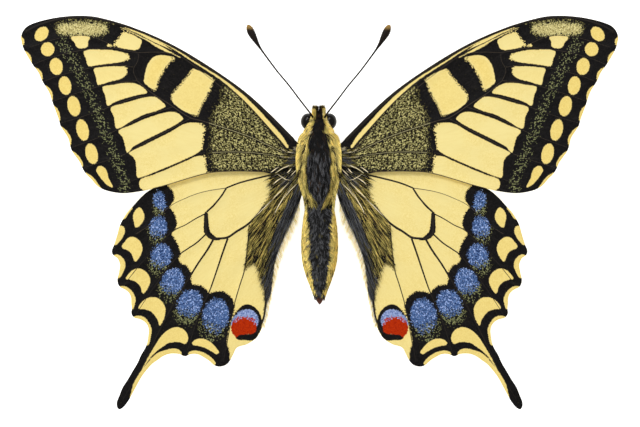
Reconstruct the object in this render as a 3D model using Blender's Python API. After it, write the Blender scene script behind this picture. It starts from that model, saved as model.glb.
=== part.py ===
"""A dry swallowtail butterfly, lying on its belly with its wings spread flat.

The body lies along Y with the head towards +Y and the back up (+Z). The origin is the middle of the
thorax's underside, where it rests. Every shape is drawn in millimetres for an 80 mm wingspan. Paired
pieces are made once, on the +X side, and mirrored for the left.
"""

import math

import bmesh
import bpy
from mathutils import Matrix, Vector

MM = 0.001                      # metres in a millimetre
GAP = 0.3                       # clearance between neighbouring pieces, mm
MEMBRANE = 0.24                 # wing thickness, mm
HINDWING_LEVEL = 4.2            # height of the hindwing's middle plane at the body, mm
FOREWING_LEVEL = 4.95           # the forewing lies over the hindwing, mm
ARCH_RISE = 1.4                 # how far the wings climb towards their tips, mm
ARCH_SPAN = 62.0                # half wavelength of that climb, mm
DROOP = 0.0022                  # how the wings fall away fore and aft, 1/mm
HALF_SPAN = 40.0                # half the wingspan, mm
WING_CELL = 6.5                 # spacing of the cuts that let a flat wing bend, mm

# Wing outlines, (out from the midline, towards the head), mm
FOREWING_OUTLINE = [
    (2.85, 0.6), (3.05, 2.3), (4.95, 4.3), (7.0, 6.4), (10.0, 9.1), (15.0, 12.6), (20.0, 15.55),
    (25.0, 17.75), (30.0, 19.15), (34.0, 19.2), (37.9, 18.2), (39.5, 17.5), (39.8, 16.8),
    (39.5, 15.0), (38.15, 12.5), (37.05, 10.55), (35.8, 8.2), (34.6, 4.6), (33.3, 1.9),
    (31.95, -0.4), (31.15, -1.9), (29.8, -3.35), (28.3, -4.15), (26.0, -4.45), (22.3, -3.85),
    (18.0, -2.6), (14.4, -1.65), (10.0, -1.5), (6.3, -1.8), (4.6, -1.1), (3.25, -0.7),
]
HINDWING_OUTLINE = [
    (3.3, -2.0), (3.45, -0.9), (7.0, -0.5), (12.0, -0.9), (18.0, -2.2), (22.5, -3.85),
    (24.4, -5.5), (25.8, -7.1), (26.9, -9.3), (27.45, -11.2), (27.77, -12.25), (27.3, -12.95),
    (26.7, -14.1), (27.0, -15.85), (26.9, -16.75), (26.1, -17.3), (25.25, -18.5), (25.15, -20.2),
    (24.85, -21.05), (24.0, -21.3), (23.0, -22.2), (22.95, -23.7), (23.5, -25.3), (25.05, -28.3),
    (26.35, -30.4), (27.0, -32.3), (26.7, -33.1), (26.0, -32.7), (24.8, -30.8), (23.8, -29.0),
    (22.4, -27.3), (20.2, -25.96), (18.6, -26.0), (17.95, -26.28), (17.2, -25.95), (15.6, -26.35),
    (14.2, -27.4), (13.1, -27.63), (12.1, -27.0), (11.4, -25.5), (10.7, -24.94), (9.2, -24.35),
    (8.0, -23.1), (7.35, -21.0), (6.8, -17.5), (6.1, -14.0), (5.0, -11.0), (3.9, -8.5),
    (3.1, -6.3), (2.95, -4.5),
]

# Raised veins: (root half-thickness, tip half-thickness, points from the root), mm
FOREWING_VEINS = {
    "costa": (0.30, 0.17, [
        (3.6, 2.4), (7.2, 6.25), (10.2, 8.95), (15.1, 12.4), (20.1, 15.3), (25.0, 17.5), (30.0, 18.85),
        (34.0, 18.9), (37.6, 17.95)]),
    "radius": (0.26, 0.16, [
        (3.6, 1.5), (7.0, 4.9), (10.0, 7.8), (15.0, 11.35), (20.6, 14.3), (24.9, 14.2)]),
    "first_branch": (0.18, 0.14, [(15.0, 11.35), (20.0, 14.7), (24.0, 16.55), (28.0, 17.9)]),
    "second_branch": (0.18, 0.14, [(24.9, 14.2), (27.5, 15.1), (30.7, 16.6), (34.0, 16.5), (39.0, 15.2)]),
    "cubitus": (0.26, 0.17, [
        (3.6, 0.3), (7.0, 1.9), (12.8, 4.2), (17.2, 5.6), (20.3, 7.6), (22.7, 9.15), (24.4, 10.6)]),
    "cell_end": (0.17, 0.17, [(24.4, 10.6), (24.75, 12.5), (24.9, 14.2)]),
    "ray_1": (0.17, 0.14, [(24.9, 14.2), (31.2, 14.85), (35.9, 13.7), (38.0, 12.7)]),
    "ray_2": (0.17, 0.14, [(24.8, 12.9), (30.4, 12.3), (34.7, 11.3), (36.7, 10.6)]),
    "ray_3": (0.17, 0.14, [(24.4, 10.6), (29.2, 9.9), (33.5, 8.6), (35.4, 8.0)]),
    "ray_4": (0.17, 0.14, [(21.8, 8.55), (24.4, 8.35), (28.1, 7.07), (32.3, 5.6), (34.3, 4.95)]),
    "ray_5": (0.17, 0.14, [(19.6, 7.1), (23.45, 5.75), (27.0, 4.03), (31.1, 2.4), (33.0, 1.65)]),
    "ray_6": (0.18, 0.14, [(17.2, 5.6), (20.1, 4.0), (23.5, 2.2), (25.6, 0.95), (31.4, -1.0)]),
    "anal": (0.2, 0.14, [
        (3.8, -0.2), (8.0, 0.85), (14.4, 1.0), (18.0, -0.05), (22.0, -1.75), (28.0, -3.85)]),
}
HINDWING_VEINS = {
    "costa": (0.24, 0.15, [(3.9, -1.4), (8.0, -1.7), (13.0, -2.2), (18.0, -3.2), (22.5, -4.6), (25.8, -7.6)]),
    "cell_front": (0.2, 0.16, [(3.9, -1.7), (7.0, -2.3), (11.0, -3.25), (12.8, -3.9)]),
    "ray_1": (0.16, 0.14, [(12.8, -3.9), (16.5, -4.6), (19.7, -6.0), (24.0, -9.6), (27.2, -12.0)]),
    "cell_end": (0.18, 0.2, [(12.8, -3.9), (13.6, -5.4), (15.1, -7.05), (15.1, -10.0), (14.25, -10.6)]),
    "ray_2": (0.17, 0.14, [(15.1, -7.05), (19.5, -9.5), (23.0, -12.8), (26.6, -16.3)]),
    "cubitus": (0.24, 0.18, [
        (3.9, -2.2), (6.5, -5.3), (9.0, -8.1), (11.0, -9.55), (12.4, -10.45), (14.25, -10.6)]),
    "ray_3": (0.17, 0.14, [(15.1, -9.9), (18.8, -12.7), (21.7, -16.6), (24.7, -20.6)]),
    "tail": (0.19, 0.15, [
        (14.25, -10.6), (17.1, -15.2), (19.9, -19.5), (22.0, -24.2), (23.9, -28.0), (26.2, -31.8)]),
    "ray_5": (0.17, 0.14, [(12.3, -10.4), (14.6, -17.2), (16.6, -22.5), (17.8, -25.8)]),
    "ray_6": (0.17, 0.14, [(9.4, -8.5), (10.1, -14.9), (11.5, -19.8), (12.6, -24.0), (13.1, -27.2)]),
    "inner": (0.17, 0.14, [(4.0, -3.0), (5.4, -8.0), (7.4, -14.0), (8.2, -19.0), (9.4, -23.9)]),
}

# Body rings from front to rear: (y, half width, lowest z, highest z), mm
END_CROWN = 0.08                # how far a body's closed end stands out past its last ring
THORAX_STATIONS = [
    (4.0, 1.2, 2.0, 4.5), (3.6, 1.85, 1.3, 5.1), (2.8, 2.35, 0.7, 5.65), (1.6, 2.72, 0.1, 6.15),
    (0.2, 2.88, -0.35, 6.4), (-1.2, 2.88, -0.4, 6.35), (-2.8, 2.65, -0.25, 6.05), (-4.2, 2.3, 0.15, 5.6),
    (-5.3, 2.1, 0.4, 5.25), (-5.8, 1.95, 0.6, 5.0),
]
ABDOMEN_FRONT = THORAX_STATIONS[-1][0] - GAP - 2 * END_CROWN
ABDOMEN_STATIONS = [
    (ABDOMEN_FRONT, 1.95, 0.6, 5.0), (-6.8, 2.1, 0.4, 5.1), (-8.0, 2.25, 0.15, 5.15), (-10.0, 2.42, -0.15, 5.05),
    (-12.0, 2.45, -0.2, 4.85), (-14.0, 2.25, -0.1, 4.5), (-16.0, 1.65, 0.35, 3.9), (-17.5, 1.05, 0.8, 3.25),
    (-18.6, 0.6, 1.15, 2.7), (-19.3, 0.3, 1.5, 2.2),
]
HEAD_HALF_WIDTH = 0.85
HEAD_STATIONS = [
    (6.0, 0.5, 2.5, 3.85), (5.6, 0.8, 2.1, 4.3), (5.1, HEAD_HALF_WIDTH, 2.0, 4.45),
    (4.7, HEAD_HALF_WIDTH, 2.05, 4.4),
    (THORAX_STATIONS[0][0] + GAP + 2 * END_CROWN, 0.8, 2.2, 4.3),
]
ABDOMEN_JOINTS = [-7.6, -9.05, -10.5, -11.9, -13.3, -15.0, -16.6, -18.0]    # grooves between segments, y
JOINT_PINCH = 0.035             # how much the abdomen narrows in a groove
BODY_SIDES = 20
RING_STEP = 0.72                # spacing of the rings along a body, mm

EYE_CENTRE = (1.45, 5.25, 3.3)
EYE_SIZE = (0.92, 1.05, 1.15)   # half sizes
EYE_INNER_FACE = HEAD_HALF_WIDTH + GAP      # the eye's flat side, against the head, x

# Tubes: (x, y, z, half thickness) along the piece, mm
ANTENNA = [
    (0.78, 5.78, 4.48, 0.15), (1.1, 6.2, 4.6, 0.12), (2.6, 8.15, 5.15, 0.11), (4.0, 10.0, 5.5, 0.11),
    (5.5, 11.8, 5.75, 0.11), (7.0, 13.8, 5.9, 0.12), (7.75, 14.85, 5.95, 0.15), (8.2, 15.55, 5.97, 0.25),
    (8.65, 16.35, 5.98, 0.42), (9.0, 17.0, 5.98, 0.51), (9.25, 17.55, 5.97, 0.45), (9.42, 17.95, 5.96, 0.25),
    (9.47, 18.08, 5.96, 0.1),
]
PALP = [
    (0.5, 6.55, 2.05, 0.16), (0.5, 6.62, 2.3, 0.32), (0.5, 6.75, 2.75, 0.34), (0.48, 6.9, 3.15, 0.26),
    (0.46, 7.05, 3.45, 0.1),
]
PROBOSCIS_CENTRE = (0.0, 5.25, 0.95)
PROBOSCIS_TURNS = 2.25
PROBOSCIS_PITCH = 0.27          # from one turn to the next
PROBOSCIS_START = 0.12          # radius of the innermost end
PROBOSCIS_HALF_THICKNESS = 0.1
LEG_ROOT_Y = {"leg_fore": 1.7, "leg_mid": -0.2, "leg_hind": -2.1}
LEG = [                         # y counts from the leg's root
    (2.74, 0.0, 0.85, 0.2), (3.2, -0.15, 1.15, 0.27), (4.3, -0.5, 1.55, 0.26), (5.25, -0.85, 1.7, 0.2),
    (5.5, -1.15, 1.55, 0.17), (5.25, -1.45, 1.25, 0.16), (4.3, -1.8, 0.65, 0.14), (3.6, -2.05, 0.27, 0.12),
    (3.5, -2.4, 0.12, 0.1), (3.9, -3.0, 0.1, 0.09), (4.6, -3.8, 0.1, 0.08), (5.2, -4.4, 0.1, 0.07),
]

COLLECTION = "Swallowtail"


def clear_scene():
    for ob in list(bpy.data.objects):
        bpy.data.objects.remove(ob, do_unlink=True)
    group = bpy.data.collections.new(COLLECTION)
    bpy.context.scene.collection.children.link(group)
    return group


def material(name, colour, roughness):
    mat = bpy.data.materials.new(name)
    mat.use_nodes = True
    shader = mat.node_tree.nodes["Principled BSDF"]
    shader.inputs["Base Color"].default_value = (*colour, 1.0)
    shader.inputs["Roughness"].default_value = roughness
    shader.inputs["Metallic"].default_value = 0.0
    return mat


def add_piece(name, mesh, mat, group, sharp_angle=math.radians(40)):
    mesh.name = name
    mesh.materials.clear()
    mesh.materials.append(mat)
    mesh.shade_smooth()
    mesh.set_sharp_from_angle(angle=sharp_angle)
    ob = bpy.data.objects.new(name, mesh)
    group.objects.link(ob)
    return ob


def mirrored(mesh):
    """The mesh's mirror image across the midline, with its faces still pointing out."""
    copy = mesh.copy()
    bm = bmesh.new()
    bm.from_mesh(copy)
    bmesh.ops.scale(bm, vec=(-1.0, 1.0, 1.0), verts=bm.verts)
    bmesh.ops.reverse_faces(bm, faces=bm.faces)
    bm.to_mesh(copy)
    bm.free()
    return copy


def add_pair(stem, mesh, mat, group, sharp_angle=math.radians(40)):
    add_piece(stem + "_left", mirrored(mesh), mat, group, sharp_angle)
    add_piece(stem + "_right", mesh, mat, group, sharp_angle)


def curve_mesh(curve):
    """A curve's surface as a welded mesh, in metres. The curve is removed."""
    ob = bpy.data.objects.new("guide", curve)
    bpy.context.scene.collection.objects.link(ob)
    graph = bpy.context.evaluated_depsgraph_get()
    mesh = bpy.data.meshes.new_from_object(ob.evaluated_get(graph), depsgraph=graph)
    bpy.data.objects.remove(ob, do_unlink=True)
    bpy.data.curves.remove(curve)
    bm = bmesh.new()
    bm.from_mesh(mesh)
    bmesh.ops.remove_doubles(bm, verts=bm.verts, dist=1e-6)
    bmesh.ops.recalc_face_normals(bm, faces=bm.faces)
    bm.to_mesh(mesh)
    bm.free()
    return mesh


def tube_mesh(points, sides_level=1):
    """A closed tube through (x, y, z, half thickness) points in millimetres."""
    curve = bpy.data.curves.new("tube", "CURVE")
    curve.dimensions = "3D"
    curve.bevel_depth = MM
    curve.bevel_resolution = sides_level
    curve.use_fill_caps = True
    spline = curve.splines.new("POLY")
    spline.points.add(len(points) - 1)
    for point, (x, y, z, half) in zip(spline.points, points):
        point.co = (x * MM, y * MM, z * MM, 1.0)
        point.radius = half
    return curve_mesh(curve)


def plate_mesh(outline):
    """A flat plate with a smooth closed outline, as thick as the wing membrane."""
    curve = bpy.data.curves.new("outline", "CURVE")
    curve.dimensions = "2D"
    curve.fill_mode = "BOTH"
    curve.extrude = MEMBRANE / 2 * MM
    curve.resolution_u = 2
    spline = curve.splines.new("BEZIER")
    spline.bezier_points.add(len(outline) - 1)
    spline.use_cyclic_u = True
    for point, (x, y) in zip(spline.bezier_points, outline):
        point.co = (x * MM, y * MM, 0.0)
        point.handle_left_type = "AUTO"
        point.handle_right_type = "AUTO"
    mesh = curve_mesh(curve)
    bm = bmesh.new()
    bm.from_mesh(mesh)
    bmesh.ops.dissolve_limit(
        bm, angle_limit=math.radians(0.5), verts=bm.verts, edges=bm.edges, delimit={"NORMAL"})
    bm.to_mesh(mesh)
    bm.free()
    return mesh


def vein_mesh(root, tip, points):
    """A straight-edged ridge that tapers from its root to its tip, through the membrane."""
    last = len(points) - 1
    tube = []
    for i, (x, y) in enumerate(points):
        tube.append((x, y, 0.0, root + (tip - root) * i / last))
    return tube_mesh(tube, sides_level=0)


def fused(base, additions):
    """One mesh from a base mesh and others joined to it by Boolean union, one after another."""
    ob = bpy.data.objects.new("base", base)
    bpy.context.scene.collection.objects.link(ob)
    for addition in additions:
        tool = bpy.data.objects.new("addition", addition)
        bpy.context.scene.collection.objects.link(tool)
        union = ob.modifiers.new("union", "BOOLEAN")
        union.operation = "UNION"
        union.object = tool
        graph = bpy.context.evaluated_depsgraph_get()
        ob.data = bpy.data.meshes.new_from_object(ob.evaluated_get(graph), depsgraph=graph)
        ob.modifiers.clear()
        bpy.data.objects.remove(tool, do_unlink=True)
        bpy.data.meshes.remove(addition)
    mesh = ob.data
    bpy.data.objects.remove(ob, do_unlink=True)
    return mesh


def wing_height(x, y):
    """How far the spread wings stand above their level at the body, mm."""
    climb = ARCH_RISE * math.sin(math.pi * max(x - 3.0, 0.0) / ARCH_SPAN)
    return climb - DROOP * (y + 3.0) ** 2 * x / HALF_SPAN


def bend_wing(mesh, level):
    """Cut a flat wing into cells and lift each corner onto the wing's gentle arch."""
    bm = bmesh.new()
    bm.from_mesh(mesh)
    for axis in (Vector((1, 0, 0)), Vector((0, 1, 0))):
        for step in range(-8, 9):
            geometry = bm.verts[:] + bm.edges[:] + bm.faces[:]
            bmesh.ops.bisect_plane(
                bm, geom=geometry, dist=1e-7, plane_co=axis * (step * WING_CELL * MM), plane_no=axis)
    bmesh.ops.remove_doubles(bm, verts=bm.verts, dist=2e-5)
    bmesh.ops.dissolve_degenerate(bm, edges=bm.edges, dist=1e-6)
    bmesh.ops.triangulate(bm, faces=bm.faces, quad_method="BEAUTY", ngon_method="BEAUTY")
    for vert in bm.verts:
        vert.co.z += (level + wing_height(vert.co.x / MM, vert.co.y / MM)) * MM
    bm.to_mesh(mesh)
    bm.free()


def wing_mesh(outline, veins, level):
    ridges = [vein_mesh(root, tip, points) for root, tip, points in veins.values()]
    mesh = fused(plate_mesh(outline), ridges)
    bend_wing(mesh, level)
    return mesh


def station_at(stations, y):
    """Half width, lowest and highest z of a body at y, eased between its stations."""
    for front, rear in zip(stations, stations[1:]):
        if y >= rear[0]:
            t = (front[0] - y) / (front[0] - rear[0])
            return [a + (b - a) * t for a, b in zip(front[1:], rear[1:])]
    return list(stations[-1][1:])


def joint_pinch(y):
    """1 between the abdomen's grooves, and a little less in one."""
    nearest = min(abs(y - joint) for joint in ABDOMEN_JOINTS)
    return 1.0 - JOINT_PINCH * max(0.0, 1.0 - nearest / (RING_STEP * 0.6))


def body_rings(stations, joints=()):
    """Ring places along a body: its two ends, an even run between, and one in each groove."""
    front = stations[0][0]
    rear = stations[-1][0]
    count = max(3, round((front - rear) / RING_STEP))
    even = [front + (rear - front) * i / count for i in range(count + 1)]
    places = [y for y in even if all(abs(y - joint) > RING_STEP * 0.35 for joint in joints)]
    return sorted(places + list(joints), reverse=True)


def body_mesh(stations, joints=()):
    """A sphere's rings drawn out along the body, flat wherever it would pass below the ground."""
    rings = body_rings(stations, joints)
    bm = bmesh.new()
    bmesh.ops.create_uvsphere(bm, u_segments=BODY_SIDES, v_segments=len(rings) + 1, radius=1.0)
    bmesh.ops.rotate(bm, verts=bm.verts, matrix=Matrix.Rotation(math.radians(-90), 3, "X"))
    for vert in bm.verts:
        turn = math.acos(max(-1.0, min(1.0, vert.co.y))) / math.pi
        index = round(turn * (len(rings) + 1)) - 1
        at_end = index in (-1, len(rings))
        y = rings[min(max(index, 0), len(rings) - 1)]
        half_width, low, high = station_at(stations, y)
        pinch = joint_pinch(y) if joints else 1.0
        middle = (low + high) / 2
        around = math.atan2(vert.co.z, vert.co.x)
        reach = 0.0 if at_end else pinch
        crown = (END_CROWN if index < 0 else -END_CROWN) if at_end else 0.0
        vert.co.x = half_width * reach * math.cos(around) * MM
        vert.co.z = max(0.0, middle + (high - middle) * reach * math.sin(around)) * MM
        vert.co.y = (y + crown) * MM
    mesh = bpy.data.meshes.new("body")
    bmesh.ops.recalc_face_normals(bm, faces=bm.faces)
    bm.to_mesh(mesh)
    bm.free()
    return mesh


def eye_mesh():
    """An egg-shaped eye, cut flat on the side that faces the head."""
    bm = bmesh.new()
    bmesh.ops.create_uvsphere(bm, u_segments=16, v_segments=9, radius=MM)
    bmesh.ops.scale(bm, vec=EYE_SIZE, verts=bm.verts)
    bmesh.ops.translate(bm, vec=Vector(EYE_CENTRE) * MM, verts=bm.verts)
    bmesh.ops.bisect_plane(
        bm, geom=bm.verts[:] + bm.edges[:] + bm.faces[:], dist=1e-7,
        plane_co=(EYE_INNER_FACE * MM, 0, 0), plane_no=(-1, 0, 0), clear_outer=True)
    rim = [edge for edge in bm.edges if edge.is_boundary]
    bmesh.ops.holes_fill(bm, edges=rim, sides=0)
    bmesh.ops.recalc_face_normals(bm, faces=bm.faces)
    mesh = bpy.data.meshes.new("eye")
    bm.to_mesh(mesh)
    bm.free()
    return mesh


def proboscis_mesh():
    """The tongue, coiled flat in the midline like a watch spring."""
    x, y, z = PROBOSCIS_CENTRE
    steps = 10
    count = round(PROBOSCIS_TURNS * steps)
    points = []
    for i in range(count + 1):
        turn = i / steps
        reach = PROBOSCIS_START + PROBOSCIS_PITCH * turn
        angle = 2 * math.pi * turn
        points.append((x, y + reach * math.cos(angle), z + reach * math.sin(angle),
                       PROBOSCIS_HALF_THICKNESS))
    return tube_mesh(points, sides_level=1)


def leg_mesh(root_y):
    """One folded leg: out to the knee, back in along the shin, and the foot laid behind."""
    return tube_mesh([(x, root_y + y, z, half) for x, y, z, half in LEG])


def build():
    group = clear_scene()
    wing = material("wing_scales", (0.84, 0.72, 0.30), 0.75)
    fur = material("body_hair", (0.32, 0.25, 0.10), 0.9)
    horn = material("dark_horn", (0.012, 0.009, 0.008), 0.4)
    eye = material("compound_eye", (0.01, 0.007, 0.006), 0.15)

    add_piece("head", body_mesh(HEAD_STATIONS), fur, group)
    add_piece("thorax", body_mesh(THORAX_STATIONS), fur, group)
    add_piece("abdomen", body_mesh(ABDOMEN_STATIONS, ABDOMEN_JOINTS), fur, group)
    add_piece("proboscis", proboscis_mesh(), horn, group)
    add_pair("eye", eye_mesh(), eye, group)
    add_pair("antenna", tube_mesh(ANTENNA, sides_level=2), horn, group)
    add_pair("palp", tube_mesh(PALP, sides_level=2), fur, group)
    for stem, root_y in LEG_ROOT_Y.items():
        add_pair(stem, leg_mesh(root_y), horn, group)
    add_pair("forewing", wing_mesh(FOREWING_OUTLINE, FOREWING_VEINS, FOREWING_LEVEL), wing, group,
             math.radians(15))
    add_pair("hindwing", wing_mesh(HINDWING_OUTLINE, HINDWING_VEINS, HINDWING_LEVEL), wing, group,
             math.radians(15))


build()
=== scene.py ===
"""A dry swallowtail butterfly with spread wings, seen from straight above on a white table.

Every length is in millimetres until a piece is finished, when it is scaled to metres. The body lies along
Y with the head towards +Y. Paired pieces are made on the +X side and mirrored for the left, so outlines
and routes are (out from the midline, towards the head).
"""

import math

import bpy
import numpy as np
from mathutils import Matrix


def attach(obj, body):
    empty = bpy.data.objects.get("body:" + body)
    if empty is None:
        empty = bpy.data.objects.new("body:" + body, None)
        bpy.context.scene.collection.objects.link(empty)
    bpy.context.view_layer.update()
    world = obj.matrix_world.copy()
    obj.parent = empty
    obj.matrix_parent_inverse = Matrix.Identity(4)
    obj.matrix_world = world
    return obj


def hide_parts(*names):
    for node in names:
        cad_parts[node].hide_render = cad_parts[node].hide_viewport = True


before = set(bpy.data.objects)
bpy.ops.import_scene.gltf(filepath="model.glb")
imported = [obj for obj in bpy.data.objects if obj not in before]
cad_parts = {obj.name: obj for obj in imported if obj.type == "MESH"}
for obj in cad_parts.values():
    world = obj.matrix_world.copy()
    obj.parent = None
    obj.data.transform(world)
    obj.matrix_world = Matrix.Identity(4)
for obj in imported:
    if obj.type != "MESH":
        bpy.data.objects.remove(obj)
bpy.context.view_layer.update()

MM = 0.001                      # metres in a millimetre

# The wings' gentle arch, as the frame's wings have it
FOREWING_LEVEL = 4.95           # height of the forewing at the body
HINDWING_LEVEL = 4.2
ARCH_RISE = 1.4
ARCH_SPAN = 62.0
DROOP = 0.0022
HALF_SPAN = 40.0

CELL = 0.125                    # spacing of a wing's points
MEMBRANE = 0.12                 # wing thickness
VEIN_SWELL = 0.10               # how far the membrane climbs towards a vein
VEIN_SWELL_WIDTH = 0.45
FOLD_DEPTH = 0.05               # the soft folds that run out from the wing's root
FAR = 1.5                       # distances to a marking are kept up to this far from it

FOREWING_OUTLINE = [
    (3.0, 2.4), (5.0, 4.35), (7.0, 6.4), (10.0, 9.1), (12.0, 10.5), (15.0, 12.6), (18.0, 14.3), (20.0, 15.55),
    (22.0, 16.45), (25.0, 17.75), (27.0, 18.4), (30.0, 19.15), (32.0, 19.3), (34.0, 19.2), (36.0, 18.9),
    (38.1, 18.35), (39.15, 17.85), (39.7, 17.2), (39.95, 16.4), (39.88, 15.9), (39.6, 14.9), (38.9, 13.6),
    (38.2, 12.5), (37.6, 11.7), (37.1, 10.6), (36.2, 9.1), (35.85, 8.2), (35.6, 7.4), (34.8, 5.2), (34.65, 4.6),
    (33.6, 2.9), (33.35, 1.9), (33.1, 1.2), (32.0, -0.4), (31.6, -1.3), (31.2, -1.9), (30.5, -2.6), (29.8, -3.4),
    (29.0, -3.9), (28.3, -4.15), (27.0, -4.4), (26.0, -4.45), (24.0, -4.2), (22.3, -3.85), (20.0, -3.24),
    (18.0, -2.6), (16.5, -2.1), (14.4, -1.65), (12.0, -1.5), (10.0, -1.5), (8.0, -1.56), (6.3, -1.8),
    (5.0, -1.2), (3.3, -0.9), (2.0, -0.6), (1.8, 0.6), (2.2, 1.6),
]
HINDWING_OUTLINE = [
    (2.0, -1.0), (3.5, -0.7), (7.0, -0.5), (12.0, -0.9), (18.0, -2.2), (22.5, -3.9), (23.8, -4.9), (24.9, -6.1), (25.8, -7.1),
    (26.7, -8.7), (27.1, -10.1), (27.55, -11.5), (27.77, -12.0), (27.77, -12.45), (27.55, -12.8), (27.1, -13.1),
    (26.85, -13.5), (26.7, -14.05), (26.76, -14.6), (26.9, -15.3), (27.04, -15.85), (27.0, -16.5), (26.7, -17.0),
    (26.1, -17.3), (25.5, -17.8), (25.24, -18.4), (25.2, -19.2), (25.13, -19.94), (25.2, -20.4), (25.06, -20.83),
    (24.7, -21.15), (24.04, -21.3), (23.4, -21.67), (23.0, -22.2), (22.86, -22.8), (22.95, -23.7),
    (23.08, -24.5), (23.4, -25.26), (23.85, -26.0), (24.4, -27.2), (25.06, -28.3), (25.7, -29.4), (26.35, -30.4),
    (26.8, -31.5), (27.15, -32.4), (27.15, -33.0), (26.85, -33.4), (26.4, -33.2), (25.7, -32.4), (24.8, -30.8),
    (23.8, -29.0), (23.0, -27.95), (22.4, -27.3), (21.7, -26.8), (21.0, -26.3), (20.2, -25.96), (19.4, -25.9),
    (18.65, -26.0), (18.3, -26.2), (17.95, -26.28), (17.6, -26.1), (17.1, -25.96), (16.3, -26.0), (15.6, -26.35),
    (14.8, -26.86), (14.2, -27.4), (13.7, -27.63), (13.1, -27.63), (12.5, -27.4), (12.1, -27.0), (11.8, -26.5),
    (11.5, -25.9), (11.15, -25.2), (10.7, -24.94), (9.9, -24.74), (9.17, -24.36), (8.5, -23.85), (8.0, -23.1),
    (7.6, -22.2), (7.2, -20.5), (7.0, -19.0), (6.7, -17.0), (6.3, -15.0), (5.9, -13.2), (5.3, -11.5), (4.6, -10.0),
    (3.9, -8.5), (3.1, -6.5), (2.5, -4.9), (1.9, -3.5), (1.8, -2.0),
]

# Veins: (half width at the root, half width at the tip, tone, points). Tone 0 is black, 1 brown, 2 pale
FOREWING_VEINS = {
    "costa": (0.26, 0.12, 0, [
        (3.5, 2.6), (5.05, 4.2), (7.1, 6.25), (10.1, 8.95), (15.05, 12.45), (20.05, 15.4), (25.0, 17.55),
        (30.0, 18.95), (34.0, 19.0), (37.6, 18.05), (39.3, 17.2)]),
    "subcosta": (0.10, 0.05, 0, [
        (4.6, 1.5), (6.0, 3.35), (8.0, 5.65), (10.0, 7.75), (13.0, 10.3), (17.0, 12.85), (20.0, 14.75),
        (22.0, 15.65), (24.0, 16.65), (26.4, 17.55)]),
    "radius": (0.06, 0.05, 1, [
        (4.3, 1.0), (7.0, 3.9), (10.0, 7.0), (15.0, 11.2), (19.0, 14.0), (21.3, 14.4), (24.2, 14.35)]),
    "radius_branch": (0.045, 0.04, 1, [
        (24.2, 14.35), (26.5, 14.75), (28.9, 15.9), (30.9, 16.55), (34.0, 16.45), (38.8, 15.1)]),
    "cubitus": (0.08, 0.07, 1, [
        (14.8, 4.95), (16.0, 5.3), (17.2, 5.6), (20.3, 7.6), (22.7, 9.15), (24.4, 10.6)]),
    "cubitus_root": (0.05, 0.06, 2, [
        (4.2, 0.62), (5.0, 1.1), (7.0, 2.03), (9.0, 2.98), (11.0, 3.7), (12.8, 4.3), (14.8, 4.95)]),
    "cell_end": (0.045, 0.04, 1, [(24.4, 10.6), (24.9, 12.0), (24.3, 13.3), (24.2, 14.35)]),
    "ray_1": (0.045, 0.04, 1, [(26.0, 14.65), (27.8, 14.95), (31.2, 14.75), (35.9, 13.7), (38.3, 12.75)]),
    "ray_2": (0.045, 0.04, 1, [(24.9, 12.4), (27.5, 12.75), (30.4, 12.35), (34.7, 11.3), (36.95, 10.45)]),
    "ray_3": (0.045, 0.04, 1, [(24.4, 10.6), (26.5, 10.4), (29.2, 9.9), (33.5, 8.6), (35.65, 7.85)]),
    "ray_4": (0.045, 0.04, 1, [(21.8, 8.55), (24.4, 8.37), (28.1, 7.07), (32.3, 5.6), (34.55, 4.95)]),
    "ray_5": (0.045, 0.04, 1, [(19.6, 7.1), (23.45, 5.78), (27.0, 4.03), (31.1, 2.4), (33.2, 1.65)]),
    "ray_6": (0.05, 0.04, 1, [(17.2, 5.6), (20.1, 4.0), (23.5, 2.2), (25.6, 0.95), (31.6, -1.1)]),
    "anal_root": (0.04, 0.05, 2, [
        (4.6, 0.25), (6.1, 0.6), (8.0, 0.88), (10.0, 1.04), (12.0, 1.08), (14.4, 1.0)]),
    "anal": (0.10, 0.05, 0, [
        (15.3, 0.98), (16.4, 0.72), (18.0, -0.05), (20.0, -0.92), (22.0, -1.75), (24.3, -2.5), (28.0, -3.85)]),
    "root_edge": (0.06, 0.05, 2, [(3.2, -0.7), (4.2, -0.8), (5.0, -1.12), (5.9, -1.75)]),
    "hind_edge": (0.06, 0.05, 1, [
        (7.0, -1.6), (10.0, -1.48), (12.0, -1.5), (14.4, -1.65), (18.0, -2.58), (20.0, -3.2), (22.3, -3.82)]),
}
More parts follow.
